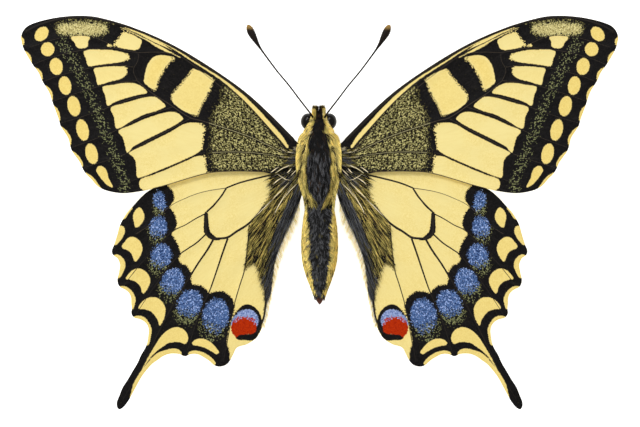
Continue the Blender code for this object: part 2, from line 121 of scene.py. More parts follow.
HINDWING_VEINS = {
    "cell_front": (0.15, 0.12, 0, [(4.0, -1.5), (6.0, -1.9), (8.0, -2.35), (10.0, -2.85), (11.0, -3.15), (12.5, -3.75)]),
    "ray_1": (0.07, 0.05, 1, [
        (12.5, -3.75), (15.0, -4.15), (16.5, -4.55), (18.0, -5.15), (19.7, -6.0), (23.0, -8.9), (24.6, -9.9)]),
    "cell_end": (0.13, 0.15, 0, [(12.5, -3.8), (13.2, -4.9), (14.2, -6.1), (15.1, -6.95)]),
    "cell_bar": (0.16, 0.22, 0, [(15.15, -7.0), (15.2, -8.5), (15.1, -9.9), (14.25, -10.5)]),
    "ray_2": (0.10, 0.06, 0, [(15.1, -7.1), (16.5, -7.8), (18.0, -8.7), (19.5, -9.45), (24.0, -14.0), (26.3, -16.9)]),
    "cubitus": (0.18, 0.17, 0, [
        (3.6, -2.4), (5.0, -3.9), (6.5, -5.3), (8.1, -7.1), (9.0, -8.1), (10.0, -8.9), (11.0, -9.5), (12.3, -10.35),
        (13.4, -10.5), (14.25, -10.5)]),
    "ray_3": (0.13, 0.05, 0, [(15.2, -9.9), (16.5, -11.1), (17.7, -11.9), (18.8, -12.7), (22.3, -17.2), (24.6, -20.7)]),
    "tail": (0.16, 0.05, 0, [
        (14.2, -10.6), (15.0, -12.0), (16.3, -13.9), (17.1, -15.2), (19.9, -19.9), (22.1, -24.2), (23.9, -28.0),
        (26.3, -32.0)]),
    "ray_5": (0.15, 0.05, 0, [
        (12.3, -10.5), (13.0, -12.5), (13.8, -14.9), (14.6, -17.2), (16.4, -21.5), (17.8, -25.8)]),
    "ray_6": (0.12, 0.06, 0, [
        (9.4, -8.7), (9.7, -12.0), (10.1, -14.9), (10.6, -16.5), (11.2, -18.5), (11.6, -20.2), (12.3, -24.0),
        (12.9, -27.0)]),
    "shoulder": (0.05, 0.06, 2, [(3.9, -2.72), (4.7, -2.55), (5.3, -2.1), (5.8, -1.85)]),
    "pale_line": (0.04, 0.04, 2, [(4.1, -3.0), (5.0, -3.9), (5.8, -4.6), (7.0, -5.9), (8.2, -7.0), (9.0, -7.8)]),
    "inner": (0.12, 0.13, 0, [
        (4.0, -3.0), (5.4, -8.0), (6.6, -14.0), (7.0, -17.0), (7.22, -19.0), (7.38, -20.5), (7.78, -21.9),
        (8.4, -23.1)]),
}

# Forewing markings
FOREWING_SPOTS = [              # (x, y, half width, half height, lean in degrees)
    (37.18, 16.85, 0.80, 1.08, 42), (36.36, 14.8, 0.90, 0.93, 0), (35.22, 12.5, 0.86, 1.14, -12),
    (34.02, 9.95, 0.82, 1.24, -12), (32.84, 7.18, 0.84, 1.36, -13), (31.68, 4.0, 0.80, 1.45, -13),
    (30.47, 0.82, 0.80, 1.40, -14),
]
FOREWING_TEARDROP = [
    (29.86, -1.36), (29.6, -0.87), (29.0, -0.87), (28.42, -1.53), (28.25, -2.31), (27.87, -3.09),
    (27.64, -3.64), (28.21, -3.47), (28.91, -2.83), (29.51, -2.05),
]
FOREWING_PATCHES = {
    "band_1": [(33.24, 16.41), (30.73, 16.41), (30.99, 15.8), (30.99, 15.19), (31.77, 14.9), (32.37, 15.02),
               (32.81, 15.71)],
    "band_1_dot": [(28.45, 15.3), (28.2, 15.55), (27.85, 15.25), (28.2, 15.1)],
    "band_2": [(31.54, 14.41), (30.99, 14.71), (28.91, 14.73), (27.18, 14.59), (25.62, 14.07), (25.48, 13.63),
               (26.14, 13.2), (27.87, 12.91), (29.6, 12.68), (30.64, 12.51), (30.95, 12.59), (31.25, 13.55)],
    "band_3": [(30.16, 12.16), (28.91, 12.42), (27.18, 12.51), (25.88, 12.39), (25.75, 11.9), (25.96, 11.29),
               (26.66, 10.81), (27.87, 10.51), (29.25, 10.08), (29.65, 10.05), (29.9, 11.12)],
    "band_4": [(28.99, 9.74), (27.52, 10.05), (26.14, 10.29), (24.92, 10.26), (24.06, 9.99), (23.28, 9.39),
               (23.02, 9.01), (24.4, 8.66), (26.14, 8.18), (27.52, 7.66), (28.3, 7.22), (28.65, 8.52)],
    "band_5": [(27.92, 6.93), (26.14, 7.57), (24.4, 8.09), (22.84, 8.43), (21.89, 8.38), (21.11, 7.79),
               (20.59, 7.22), (21.63, 6.62), (23.36, 6.1), (25.27, 5.14), (26.66, 4.28), (27.18, 4.22),
               (27.49, 5.75)],
    "band_6": [(26.88, 3.84), (25.27, 4.62), (23.54, 5.4), (21.8, 6.01), (20.07, 6.44), (19.2, 6.36),
               (18.51, 5.92), (18.25, 5.49), (18.86, 4.97), (20.07, 4.28), (21.8, 3.41), (23.54, 2.54),
               (24.92, 1.76), (25.7, 0.98), (26.05, 2.11), (26.31, 2.98)],
    "band_7": [(25.49, 0.9), (24.92, 0.38), (24.58, -0.32), (24.49, -1.36), (24.32, -2.38), (22.0, -1.6),
               (20.0, -0.78), (18.0, 0.1), (16.47, 0.85), (15.75, 1.48), (15.67, 2.28), (15.5, 3.4),
               (15.43, 4.36), (16.0, 4.87), (16.96, 5.0), (18.0, 4.84), (20.07, 3.67), (21.8, 2.8), (23.5, 1.94)],
    "band_8": [(24.0, -2.7), (22.0, -1.9), (20.0, -1.07), (18.0, -0.2), (16.3, 0.52), (15.35, 0.44),
               (15.27, -0.44), (15.03, -1.4), (15.1, -1.9), (18.0, -2.9), (22.0, -4.2), (23.2, -4.1),
               (23.9, -3.8), (24.1, -3.3)],
    "cell_outer": [(23.52, 10.44), (23.44, 10.92), (23.2, 12.2), (22.8, 13.08), (22.24, 13.72), (21.6, 13.96),
                   (20.64, 13.99), (19.68, 13.72), (19.44, 13.48), (19.92, 13.16), (20.56, 12.36),
                   (20.96, 11.72), (21.36, 10.92), (21.76, 9.96), (22.0, 9.32), (22.4, 9.48), (23.04, 9.96)],
    "cell_inner": [(16.96, 12.12), (15.51, 11.64), (14.07, 10.6), (14.39, 10.12), (14.71, 9.32), (15.19, 8.2),
                   (15.67, 7.56), (16.0, 6.76), (16.4, 5.96), (17.6, 6.28), (18.72, 6.92), (19.52, 7.56),
                   (19.76, 8.04), (19.68, 8.84), (18.72, 9.96), (17.92, 10.84), (17.28, 11.72)],
    "front": [(26.14, 17.1), (25.27, 16.84), (24.4, 16.41), (23.8, 15.97), (23.88, 15.45), (24.14, 14.93),
              (24.75, 14.67), (25.62, 14.8), (26.48, 14.93), (27.52, 15.37), (27.18, 15.97), (26.74, 16.49)],
}
FOREWING_STREAKS = [            # (half widths along it, points)
    ([0.04, 0.07, 0.07, 0.10, 0.10, 0.11, 0.13, 0.17, 0.21, 0.24, 0.27, 0.30, 0.30, 0.28, 0.16],
     [(22.7, 16.4), (21.5, 15.9), (20.5, 15.4), (19.0, 14.55), (17.0, 13.25), (15.0, 12.0), (13.0, 10.72),
      (11.0, 9.1), (10.0, 8.2), (9.0, 7.2), (8.0, 6.15), (7.0, 5.0), (6.0, 3.9), (5.0, 2.75), (4.3, 1.75)]),
    ([0.05, 0.09, 0.12, 0.19, 0.20, 0.17, 0.10, 0.04],
     [(26.0, 17.72), (25.0, 17.3), (24.0, 16.9), (23.2, 16.5), (22.0, 15.9), (21.0, 15.38), (20.3, 14.98),
      (19.8, 14.65)]),
    ([0.05, 0.07, 0.07, 0.07, 0.10, 0.19, 0.16, 0.07, 0.03],
     [(26.6, 17.68), (25.0, 17.0), (24.0, 16.5), (23.0, 16.0), (22.0, 15.4), (21.0, 14.88), (20.3, 14.52),
      (19.3, 14.05), (18.6, 13.7)]),
]
PATCH_DEPTH = {"cell_outer": 0.8, "cell_inner": 0.55, "band_3": 0.3}     # patches of a deeper yellow
FOREWING_FRINGE_ENDS = [16.98, 15.0, 12.75, 10.4, 7.75, 4.9, 1.6, -1.3, -4.1]    # y of the black points
FRINGE_GAP = 0.33               # black left beside each point
FRINGE_DEPTH = 0.42             # depth of the yellow slivers between the points
FOREWING_RAGGED = [             # where a marking's edge is broken up into single scales
    [(25.4, 13.8), (25.7, 12.0)], [(19.5, 13.4), (21.0, 11.4), (22.0, 9.3)], [(14.2, 10.4), (16.4, 6.0)],
    [(15.5, 4.6), (15.2, 1.0), (15.0, -1.6)], [(19.7, 8.6), (17.3, 11.7)], [(27.5, 15.4), (26.1, 17.0)],
]
BASAL_DUST = [
    (4.2, 0.2), (4.5, 0.9), (5.0, 1.65), (6.0, 2.95), (7.0, 4.15), (8.0, 5.3), (9.0, 6.5), (10.0, 7.6),
    (11.0, 8.6), (12.6, 9.8), (13.0, 9.0), (13.1, 8.0), (13.9, 6.6), (14.4, 5.0), (14.4, 3.0), (14.5, 1.0),
    (14.2, -1.0), (12.0, -1.25), (8.0, -1.3), (5.2, -0.9), (4.4, -0.4),
]
APICAL_DUST = [
    (28.7, 17.9), (30.2, 18.3), (32.0, 18.35), (33.8, 18.2), (34.9, 17.9), (34.9, 17.2), (33.8, 16.8),
    (31.5, 16.65), (29.5, 16.8), (28.5, 17.3),
]
APICAL_LINE = [(27.6, 18.2), (29.0, 18.45), (30.5, 18.68), (31.5, 18.8), (34.0, 18.7), (35.4, 18.2)]
SUBMARGINAL_DUST = [
    (34.5, 15.6), (33.2, 13.7), (32.3, 12.0), (31.5, 10.5), (30.4, 8.2), (29.5, 5.8), (28.8, 4.0), (28.1, 2.2),
    (27.4, 0.5), (26.7, -1.0), (26.3, -2.5), (26.1, -3.7),
]

# Hindwing markings
HINDWING_YELLOW = [
    (2.0, 0.5), (12.0, 0.2), (21.0, -2.4), (20.3, -3.4), (20.0, -3.8), (19.6, -4.3), (19.45, -5.0), (19.6, -5.7),
    (20.0, -6.3), (19.5, -7.0), (19.2, -7.8), (19.1, -8.6), (19.3, -9.2), (19.75, -9.8), (19.4, -10.5),
    (19.0, -11.2), (18.75, -12.0), (18.6, -12.7), (18.85, -13.3), (18.5, -13.8), (18.0, -14.0), (17.5, -14.5),
    (17.15, -15.2), (17.2, -16.0), (17.0, -16.6), (16.3, -16.7), (15.7, -16.9), (15.1, -17.4), (14.7, -17.8),
    (14.3, -17.7), (13.5, -17.55), (12.8, -17.65), (12.1, -18.1), (11.6, -18.7), (11.4, -19.4), (11.45, -20.3),
    (11.9, -21.5), (12.1, -22.5), (12.3, -23.5), (12.35, -24.5), (12.1, -25.5), (12.0, -26.5), (11.6, -27.5),
    (8.0, -26.0), (6.0, -22.0), (4.5, -14.0), (2.0, -7.0), (1.5, -2.0),
]
HINDWING_BAR = [(15.3, -6.9), (15.5, -8.4), (15.45, -9.7), (14.9, -10.4), (14.1, -10.75), (13.3, -10.7),
                (14.0, -10.2), (14.6, -9.6), (14.85, -8.3), (15.0, -7.1)]
LUNULES = [
    [(24.15, -6.33), (23.7, -6.68), (23.45, -7.5), (23.64, -8.28), (24.15, -8.86), (24.64, -9.05), (24.8, -8.4),
     (24.96, -7.64), (24.73, -6.87)],
    [(26.46, -11.49), (26.08, -10.97), (25.56, -10.4), (24.99, -10.27), (24.41, -10.53), (23.9, -11.1),
     (23.7, -11.87), (23.83, -12.5), (24.2, -13.15), (24.64, -13.64), (24.92, -13.15), (25.1, -12.64),
     (25.56, -12.13), (26.33, -11.8)],
    [(25.95, -15.9), (25.63, -15.33), (25.1, -14.8), (24.4, -14.5), (23.64, -14.7), (23.0, -15.2),
     (22.7, -15.85), (22.7, -16.5), (23.06, -17.26), (23.6, -17.9), (23.77, -17.64), (24.0, -16.87),
     (24.6, -16.3), (25.4, -16.0)],
    [(24.2, -19.87), (23.85, -19.1), (23.1, -18.5), (22.37, -18.36), (21.6, -18.5), (20.96, -19.1),
     (20.64, -19.87), (20.7, -20.77), (20.96, -21.54), (21.4, -22.18), (21.6, -21.54), (22.0, -20.9),
     (22.5, -20.3), (23.3, -20.0)],
    [(22.05, -24.87), (21.47, -23.97), (20.83, -23.2), (19.94, -22.56), (19.04, -22.37), (18.27, -22.63),
     (17.76, -23.2), (17.6, -23.97), (17.95, -24.6), (18.65, -24.4), (19.55, -24.36), (20.3, -24.55),
     (21.1, -25.06), (21.86, -25.64), (22.63, -26.4), (23.27, -27.4), (23.97, -28.5), (23.65, -27.8),
     (23.0, -26.5), (22.5, -25.6)],
    [(17.1, -24.55), (16.7, -24.1), (15.96, -23.9), (15.2, -24.04), (14.4, -24.55), (13.8, -25.2),
     (13.46, -25.77), (13.8, -26.0), (14.4, -25.64), (15.2, -25.2), (16.2, -24.87), (16.9, -24.74)],
]
MARGIN_CRESCENTS = [            # each runs out past the margin
    [(25.0, -6.35), (25.55, -7.15), (26.1, -7.9), (26.6, -7.9), (25.6, -6.4)],
    [(26.65, -8.8), (26.27, -8.86), (26.04, -9.3), (26.14, -9.95), (26.7, -10.85), (27.4, -11.4), (28.2, -10.8),
     (27.4, -8.8)],
    [(27.55, -12.75), (27.0, -12.64), (26.46, -12.96), (26.08, -13.5), (26.0, -14.2), (26.3, -15.1),
     (26.85, -15.8), (27.6, -15.4), (27.2, -14.0), (27.9, -13.2)],
    [(26.86, -17.0), (26.2, -16.86), (25.6, -17.1), (24.94, -17.76), (24.65, -18.46), (24.7, -19.2),
     (25.0, -19.94), (25.7, -19.6), (25.7, -18.4), (26.5, -17.6)],
    [(24.94, -21.02), (24.3, -20.83), (23.5, -21.03), (22.9, -21.67), (22.5, -22.56), (22.56, -23.46),
     (22.8, -24.5), (23.1, -24.87), (23.5, -24.4), (23.4, -22.8), (24.0, -21.8), (24.8, -21.5)],
    [(25.4, -31.8), (25.26, -31.3), (24.94, -30.0), (24.3, -28.85), (23.8, -28.1), (23.1, -27.3),
     (22.4, -26.4), (21.6, -25.8), (20.7, -25.45), (19.8, -25.26), (19.04, -25.3), (18.6, -25.6),
     (18.46, -26.0), (19.4, -26.4), (21.0, -26.8), (22.6, -28.2), (24.4, -31.2)],
    [(17.63, -25.9), (17.24, -25.6), (16.6, -25.5), (15.7, -25.7), (14.94, -26.1), (14.3, -26.6), (13.9, -27.3),
     (14.6, -27.6), (15.8, -26.8), (17.0, -26.4)],
]
BLUE_CLOUDS = [                 # (x, y, half width, half height, lean in degrees)
    (21.4, -5.6, 0.80, 1.35, -8), (21.6, -9.0, 1.15, 1.50, 5), (21.2, -12.9, 1.35, 1.70, 15),
    (19.7, -16.3, 1.50, 1.85, 25), (17.4, -19.3, 1.60, 2.00, 25), (13.9, -20.9, 1.75, 2.35, 10),
]
CLOUD_TRAIL = 20.0              # the way that the clouds thin out, degrees from straight back
FOREWING_LAY = -0.62            # the way that scales lie, radians from straight out
HINDWING_LAY = 0.80
EYESPOT_RING = [
    (11.7, -21.4), (11.3, -20.5), (10.7, -19.8), (9.95, -19.33), (9.0, -19.5), (8.3, -20.1), (7.85, -20.9),
    (7.7, -21.8), (7.9, -22.8), (8.4, -23.6), (9.1, -24.2), (9.4, -23.8), (9.6, -23.0), (10.4, -22.4), (11.3, -21.9),
]
EYESPOT_SKY = [
    (11.95, -22.1), (11.6, -21.2), (11.0, -20.5), (10.2, -20.05), (9.4, -19.98), (8.75, -20.3), (8.3, -21.0),
    (8.2, -21.8), (8.5, -22.3), (9.5, -22.2), (11.0, -22.2),
]
EYESPOT_RED = [
    (11.85, -22.3), (11.5, -21.6), (10.9, -21.2), (10.0, -21.05), (9.2, -21.2), (8.6, -21.7), (8.45, -22.4),
    (8.6, -23.0), (9.3, -23.3), (10.2, -23.35), (10.9, -23.5), (11.2, -23.75), (11.5, -23.4), (11.8, -22.9),
]
EYESPOT_STREAK = [
    (11.25, -23.75), (10.9, -23.35), (10.0, -23.28), (9.0, -23.3), (8.4, -23.1), (8.3, -23.6), (9.1, -24.15),
    (10.0, -24.1), (10.9, -24.05),
]
HAIRY_FIELD = [                 # the inner part of the hindwing, dark under long hair
    (2.0, -0.6), (5.0, -1.0), (6.6, -2.1), (6.5, -3.6), (6.8, -5.0), (7.8, -6.6), (9.1, -8.4), (9.45, -10.5),
    (9.75, -13.0), (9.9, -14.6), (9.55, -14.1), (8.9, -13.7), (8.3, -14.5), (7.9, -15.8), (7.45, -17.0),
    (7.3, -18.5), (7.3, -20.0), (7.6, -21.6), (7.2, -21.0), (6.6, -19.0), (5.6, -12.5), (3.0, -6.5), (2.0, -3.5),
]

# The body, in sections along Y: (y, half width, low z, high z). Hair stands out to the frame's own forms
THORAX_SKIN = [
    (4.0, 1.4, 2.2, 4.35), (3.5, 1.95, 1.5, 4.9), (2.8, 2.25, 0.95, 5.35), (1.6, 2.45, 0.4, 5.8),
    (0.2, 2.55, 0.1, 6.0), (-1.2, 2.5, 0.1, 5.95), (-2.8, 2.25, 0.2, 5.65), (-4.2, 1.9, 0.4, 5.2),
    (-5.3, 1.65, 0.6, 4.85), (-6.2, 1.5, 0.8, 4.6),
]
ABDOMEN_SKIN = [
    (-5.8, 1.55, 0.9, 4.7), (-6.8, 1.9, 0.5, 5.0), (-8.0, 2.12, 0.2, 5.05), (-10.0, 2.33, 0.05, 4.95),
    (-12.0, 2.37, 0.05, 4.75), (-14.0, 2.16, 0.1, 4.4), (-16.0, 1.58, 0.45, 3.8), (-17.5, 1.0, 0.85, 3.2),
    (-18.6, 0.64, 1.15, 2.7), (-19.1, 0.46, 1.35, 2.5), (-19.4, 0.25, 1.6, 2.25),
]
HEAD_SKIN = [
    (6.2, 0.55, 2.4, 4.0), (5.7, 0.85, 2.1, 4.4), (5.1, 1.05, 1.95, 4.6), (4.6, 1.2, 2.0, 4.65),
    (4.1, 1.6, 2.1, 4.75), (3.5, 1.8, 2.4, 4.75),
]
ABDOMEN_JOINTS = [-7.6, -9.05, -10.5, -11.9, -13.3, -15.0, -16.6, -18.0]
JOINT_PINCH = 0.05
BACK_STRIPE = [                 # (y, half width) of the black stripe down the abdomen
    (-19.4, 0.1), (-18.4, 0.25), (-18.0, 0.35), (-17.4, 0.55), (-16.8, 0.98), (-16.0, 0.85), (-15.3, 1.15),
    (-14.1, 1.08), (-13.2, 1.42), (-12.4, 1.25), (-11.2, 1.2), (-10.3, 1.42), (-9.2, 1.3), (-8.0, 1.52),
    (-6.6, 1.6), (-5.8, 1.7),
]
SIDE_SPECKS = [(1.68, -10.5), (1.62, -11.6), (1.75, -13.4), (1.5, -14.85), (1.62, -15.35), (1.2, -16.9)]
GOLD_BAND = [                   # (y, inner edge, outer edge) of the thorax's gold hair, seen from above
    (-6.6, 0.5, 1.6), (-5.8, 0.75, 1.8), (-5.0, 1.1, 2.2), (-4.0, 1.35, 2.4), (-3.0, 1.42, 2.55),
    (-2.0, 1.45, 2.75), (-1.0, 1.42, 3.1), (0.0, 1.38, 3.1), (1.0, 1.25, 3.1), (2.0, 1.08, 3.1),
    (3.0, 0.8, 3.1), (4.2, 0.62, 3.1),
]
DARK_PARTING = [(-2.4, 2.5), (-1.0, 2.3), (0.0, 2.1), (0.8, 1.8), (1.6, 1.5)]    # (y, x) of a dark line in it
COMBED_BACK = 0.8               # hair shows this far behind its roots
EYE_CENTRE = (1.48, 5.17, 3.3)
EYE_SIZE = (0.93, 1.1, 1.15)
EYE_EDGE = [(3.4, 2.7), (4.0, 2.1), (4.5, 1.72), (5.0, 1.4), (5.5, 1.14), (6.0, 1.02), (6.5, 0.98)]
                                # (y, x) that the head's hair reaches over the eyes
ANTENNA = [                     # (x, y, z, half thickness)
    (0.78, 5.7, 4.2, 0.15), (1.1, 6.2, 4.6, 0.12), (2.6, 8.15, 5.15, 0.11), (4.0, 10.0, 5.5, 0.11),
    (5.5, 11.8, 5.75, 0.11), (7.0, 13.8, 5.9, 0.12), (7.75, 14.85, 5.95, 0.15), (8.2, 15.55, 5.97, 0.25),
    (8.65, 16.35, 5.98, 0.42), (9.0, 17.0, 5.98, 0.51), (9.25, 17.55, 5.97, 0.45), (9.42, 17.95, 5.96, 0.25),
    (9.47, 18.08, 5.96, 0.1),
]
ANTENNA_RING = 0.27             # length of one of its rings
PALP = [(0.5, 6.0, 2.1, 0.16), (0.5, 6.5, 2.3, 0.24), (0.5, 6.72, 2.75, 0.24), (0.48, 6.88, 3.15, 0.18),
        (0.46, 7.0, 3.4, 0.08)]
TONGUE_CENTRE = (0.0, 5.25, 0.95)
TONGUE_TURNS = 2.25
TONGUE_PITCH = 0.27
TONGUE_START = 0.12
TONGUE_HALF = 0.1
LEGS = {"fore": 1.7, "mid": -0.2, "hind": -2.1}     # y of each pair's roots
LEG = [                         # (x, y from the root, z, half thickness)
    (2.3, 0.0, 0.95, 0.2), (3.2, -0.15, 1.15, 0.26), (4.3, -0.5, 1.55, 0.24), (5.25, -0.85, 1.7, 0.17),
    (5.5, -1.15, 1.55, 0.16), (5.25, -1.45, 1.25, 0.15), (4.3, -1.8, 0.65, 0.13), (3.6, -2.05, 0.27, 0.11),
    (3.5, -2.4, 0.14, 0.09), (3.9, -3.0, 0.12, 0.085), (4.6, -3.8, 0.1, 0.08), (5.2, -4.4, 0.1, 0.06),
]
TARSUS_START = (3.55, -2.2)     # where the foot's short rings begin
BODY_OFFSET = -0.12             # the head and thorax sit this far to the left of the wings' midline

# Hair tones, dark to pale
BLACK, SLATE, BROWN, MOSS, OLIVE, GOLD, BRIGHT, CREAM, PALE = range(9)
HAIR_COLOURS = [(17, 16, 16), (96, 97, 100), (66, 48, 30), (118, 108, 56), (196, 180, 96), (240, 212, 116),
                (255, 234, 138), (240, 226, 186), (252, 248, 236)]
SHADES = 8
CLEAR_OF_TABLE = 0.02           # the lowest that any hair hangs
ROUND_SCALE = 2.4               # millimetres round the body for each radian
HAIR_FAN = (1.1, 0.4)           # the hair on a hindwing spreads from here
SLATE_BAND = [(6.0, 0.48), (9.4, 0.46), (12.5, 0.42), (15.0, 0.38), (18.0, 0.36)]   # (distance, angle) of its edge
PALE_HAIRS = [                  # single long pale hairs on the wings' roots
    [(4.1, -3.0), (5.0, -3.95), (5.8, -4.75), (6.4, -5.35)], [(6.3, -5.3), (7.0, -6.0), (7.8, -6.8), (8.7, -7.7)],
    [(5.05, -2.35), (5.5, -2.65), (5.9, -2.95), (6.3, -3.35)], [(3.0, -1.2), (3.3, -1.5), (3.7, -1.9), (3.9, -2.2)],
    [(3.8, -1.1), (4.0, -1.35), (4.2, -1.6), (4.4, -1.75)], [(3.9, -2.72), (4.5, -2.62), (5.2, -2.2), (5.8, -1.85)],
    [(3.2, -0.68), (4.2, -0.82), (5.0, -1.12), (5.9, -1.75)], [(5.5, -0.95), (5.9, -1.2), (6.3, -1.5), (6.6, -1.75)],
    [(3.1, -3.2), (3.5, -3.6), (4.0, -4.1), (4.6, -4.9)], [(4.4, -4.4), (5.0, -5.3), (5.6, -6.3), (6.1, -7.4)],
    [(3.2, 0.9), (3.8, 1.0), (4.6, 1.2), (5.2, 1.45)], [(3.2, 0.3), (3.8, 0.3), (4.6, 0.35), (5.4, 0.5)],
]
FRINGE_ROOTS = [(2.5, -4.9), (3.1, -6.5), (3.9, -8.5), (4.6, -10.0), (5.3, -11.5), (5.9, -13.2), (6.3, -15.0),
                (6.7, -17.0), (7.0, -19.0), (7.2, -20.5), (7.6, -22.2)]


def deselect():
    bpy.ops.object.select_all(action="DESELECT")


def make_active(ob):
    deselect()
    ob.select_set(True)
    bpy.context.view_layer.objects.active = ob


def curve_through(points, closed=False, step=0.2):
    """Points a short step apart on a smooth line through the given ones."""
    points = np.array(points, float)
    if closed:
        points = np.vstack([points[-1], points, points[0], points[1]])
    else:
        points = np.vstack([2 * points[0] - points[1], points, 2 * points[-1] - points[-2]])
    out = []
    for before, start, end, after in zip(points, points[1:], points[2:], points[3:]):
        reach = [max(np.linalg.norm(b - a), 1e-6) ** 0.5 for a, b in
                 ((before, start), (start, end), (end, after))]
        leave = ((start - before) / reach[0] - (end - before) / (reach[0] + reach[1])
                 + (end - start) / reach[1]) * reach[1]
        arrive = ((end - start) / reach[1] - (after - start) / (reach[1] + reach[2])
                  + (after - end) / reach[2]) * reach[1]
        count = max(1, round(np.linalg.norm(end - start) / step))
        for t in np.arange(count) / count:
            out.append((2 * t**3 - 3 * t**2 + 1) * start + (t**3 - 2 * t**2 + t) * leave
                       + (3 * t**2 - 2 * t**3) * end + (t**3 - t**2) * arrive)
    if not closed:
        out.append(points[-2])
    return np.array(out)


def nearest_on(places, starts, ends):
    """For each place, the distance to the nearest of some segments, which one it is, and how far along it."""
    best = np.full(len(places), np.inf)
    which = np.zeros(len(places), int)
    along = np.zeros(len(places))
    for i, (a, b) in enumerate(zip(starts, ends)):
        run = b - a
        t = np.clip((places - a) @ run / max(run @ run, 1e-12), 0, 1)
        away = np.hypot(places[:, 0] - a[0] - t * run[0], places[:, 1] - a[1] - t * run[1])
        closer = away < best
        best[closer] = away[closer]
        which[closer] = i
        along[closer] = t[closer]
    return best, which, along


def line_distance(places, points, limit=FAR):
    """Distance of each place to a smooth line, at most the limit."""
    line = curve_through(points)
    out = np.full(len(places), float(limit))
    near = np.all((places > line.min(0) - limit) & (places < line.max(0) + limit), axis=1)
    if near.any():
        out[near] = np.minimum(nearest_on(places[near], line[:-1], line[1:])[0], limit)
    return out


def loop_distance(places, points, limit=FAR, step=0.2):
    """Distance of each place to a smooth closed outline, positive inside it, at most the limit either way."""
    loop = curve_through(points, closed=True, step=step)
    ends = np.roll(loop, -1, axis=0)
    out = np.full(len(places), -float(limit))
    near = np.all((places > loop.min(0) - limit) & (places < loop.max(0) + limit), axis=1)
    spots = places[near]
    inside = np.zeros(len(spots), bool)
    for a, b in zip(loop, ends):
        if a[1] != b[1]:
            crosses = (a[1] > spots[:, 1]) != (b[1] > spots[:, 1])
            side = spots[:, 0] < a[0] + (b[0] - a[0]) * (spots[:, 1] - a[1]) / (b[1] - a[1])
            inside ^= crosses & side
    away = np.minimum(nearest_on(spots, loop, ends)[0], limit)
    out[near] = np.where(inside, away, -away)
    return out


def oval_distance(places, spot, limit=FAR):
    """Rough distance of each place to a leaning oval's edge, positive inside it."""
    x, y, half_width, half_height, lean = spot
    turn = math.radians(lean)
    dx, dy = places[:, 0] - x, places[:, 1] - y
    across = dx * math.cos(turn) + dy * math.sin(turn)
    along = dy * math.cos(turn) - dx * math.sin(turn)
    reach = np.hypot(across / half_width, along / half_height)
    return np.clip((1 - reach) * min(half_width, half_height), -limit, limit)


def streak_distance(places, widths, points, limit=FAR):
    """Distance inside a streak whose half width changes along its line."""
    line = curve_through(points)
    away, which, along = nearest_on(places, line[:-1], line[1:])
    half = np.interp(np.linspace(0, 1, len(line)), np.linspace(0, 1, len(widths)), widths)
    return np.clip(half[which] + (half[which + 1] - half[which]) * along - away, -limit, limit)


def ease(low, high, value):
    t = np.clip((value - low) / (high - low), 0, 1)
    return t * t * (3 - 2 * t)


def wing_height(x, y):
    """How far the spread wings stand above their level at the body."""
    climb = ARCH_RISE * np.sin(np.pi * np.maximum(x - 3.0, 0) / ARCH_SPAN)
    return climb - DROOP * (y + 3.0) ** 2 * x / HALF_SPAN


def wing_relief(places, veins):
    """The membrane's swelling towards its veins and its soft folds, which run out from the root."""
    swell = np.zeros(len(places))
    for root, tip, tone, points in veins.values():
        away = line_distance(places, points)
        swell = np.maximum(swell, VEIN_SWELL * np.exp(-(away / VEIN_SWELL_WIDTH) ** 2))
    around = np.arctan2(places[:, 1] + 1.0, places[:, 0] + 2.0)
    out = np.hypot(places[:, 0], places[:, 1])
    folds = np.sin(around * 23.0 + np.sin(out * 0.21)) * 0.6 + np.sin(around * 41.0 + 1.3) * 0.4
    return swell + FOLD_DEPTH * folds * ease(4, 16, out)


def border_points(mesh):
    """Which vertices lie on an open edge."""
    uses = np.zeros(len(mesh.loops), int)
    mesh.loops.foreach_get("edge_index", uses)
    open_edges = np.bincount(uses, minlength=len(mesh.edges)) == 1
    ends = np.zeros(len(mesh.edges) * 2, int)
    mesh.edges.foreach_get("vertices", ends)
    border = np.zeros(len(mesh.vertices), bool)
    border[ends.reshape(-1, 2)[open_edges].ravel()] = True
    return border


def places_of(mesh):
    out = np.zeros(len(mesh.vertices) * 3)
    mesh.vertices.foreach_get("co", out)
    return out.reshape(-1, 3)


def set_places(mesh, places):
    mesh.vertices.foreach_set("co", np.ascontiguousarray(places, dtype=np.float32).ravel())
    mesh.update()


def select_in(mesh, kind, chosen):
    """Selects the chosen vertices or faces of a mesh, and nothing else."""
    for name in ("vertices", "edges", "polygons"):
        items = getattr(mesh, name)
        items.foreach_set("select", chosen if name == kind else np.zeros(len(items), bool))
    bpy.context.tool_settings.mesh_select_mode = (kind == "vertices", False, kind == "polygons")


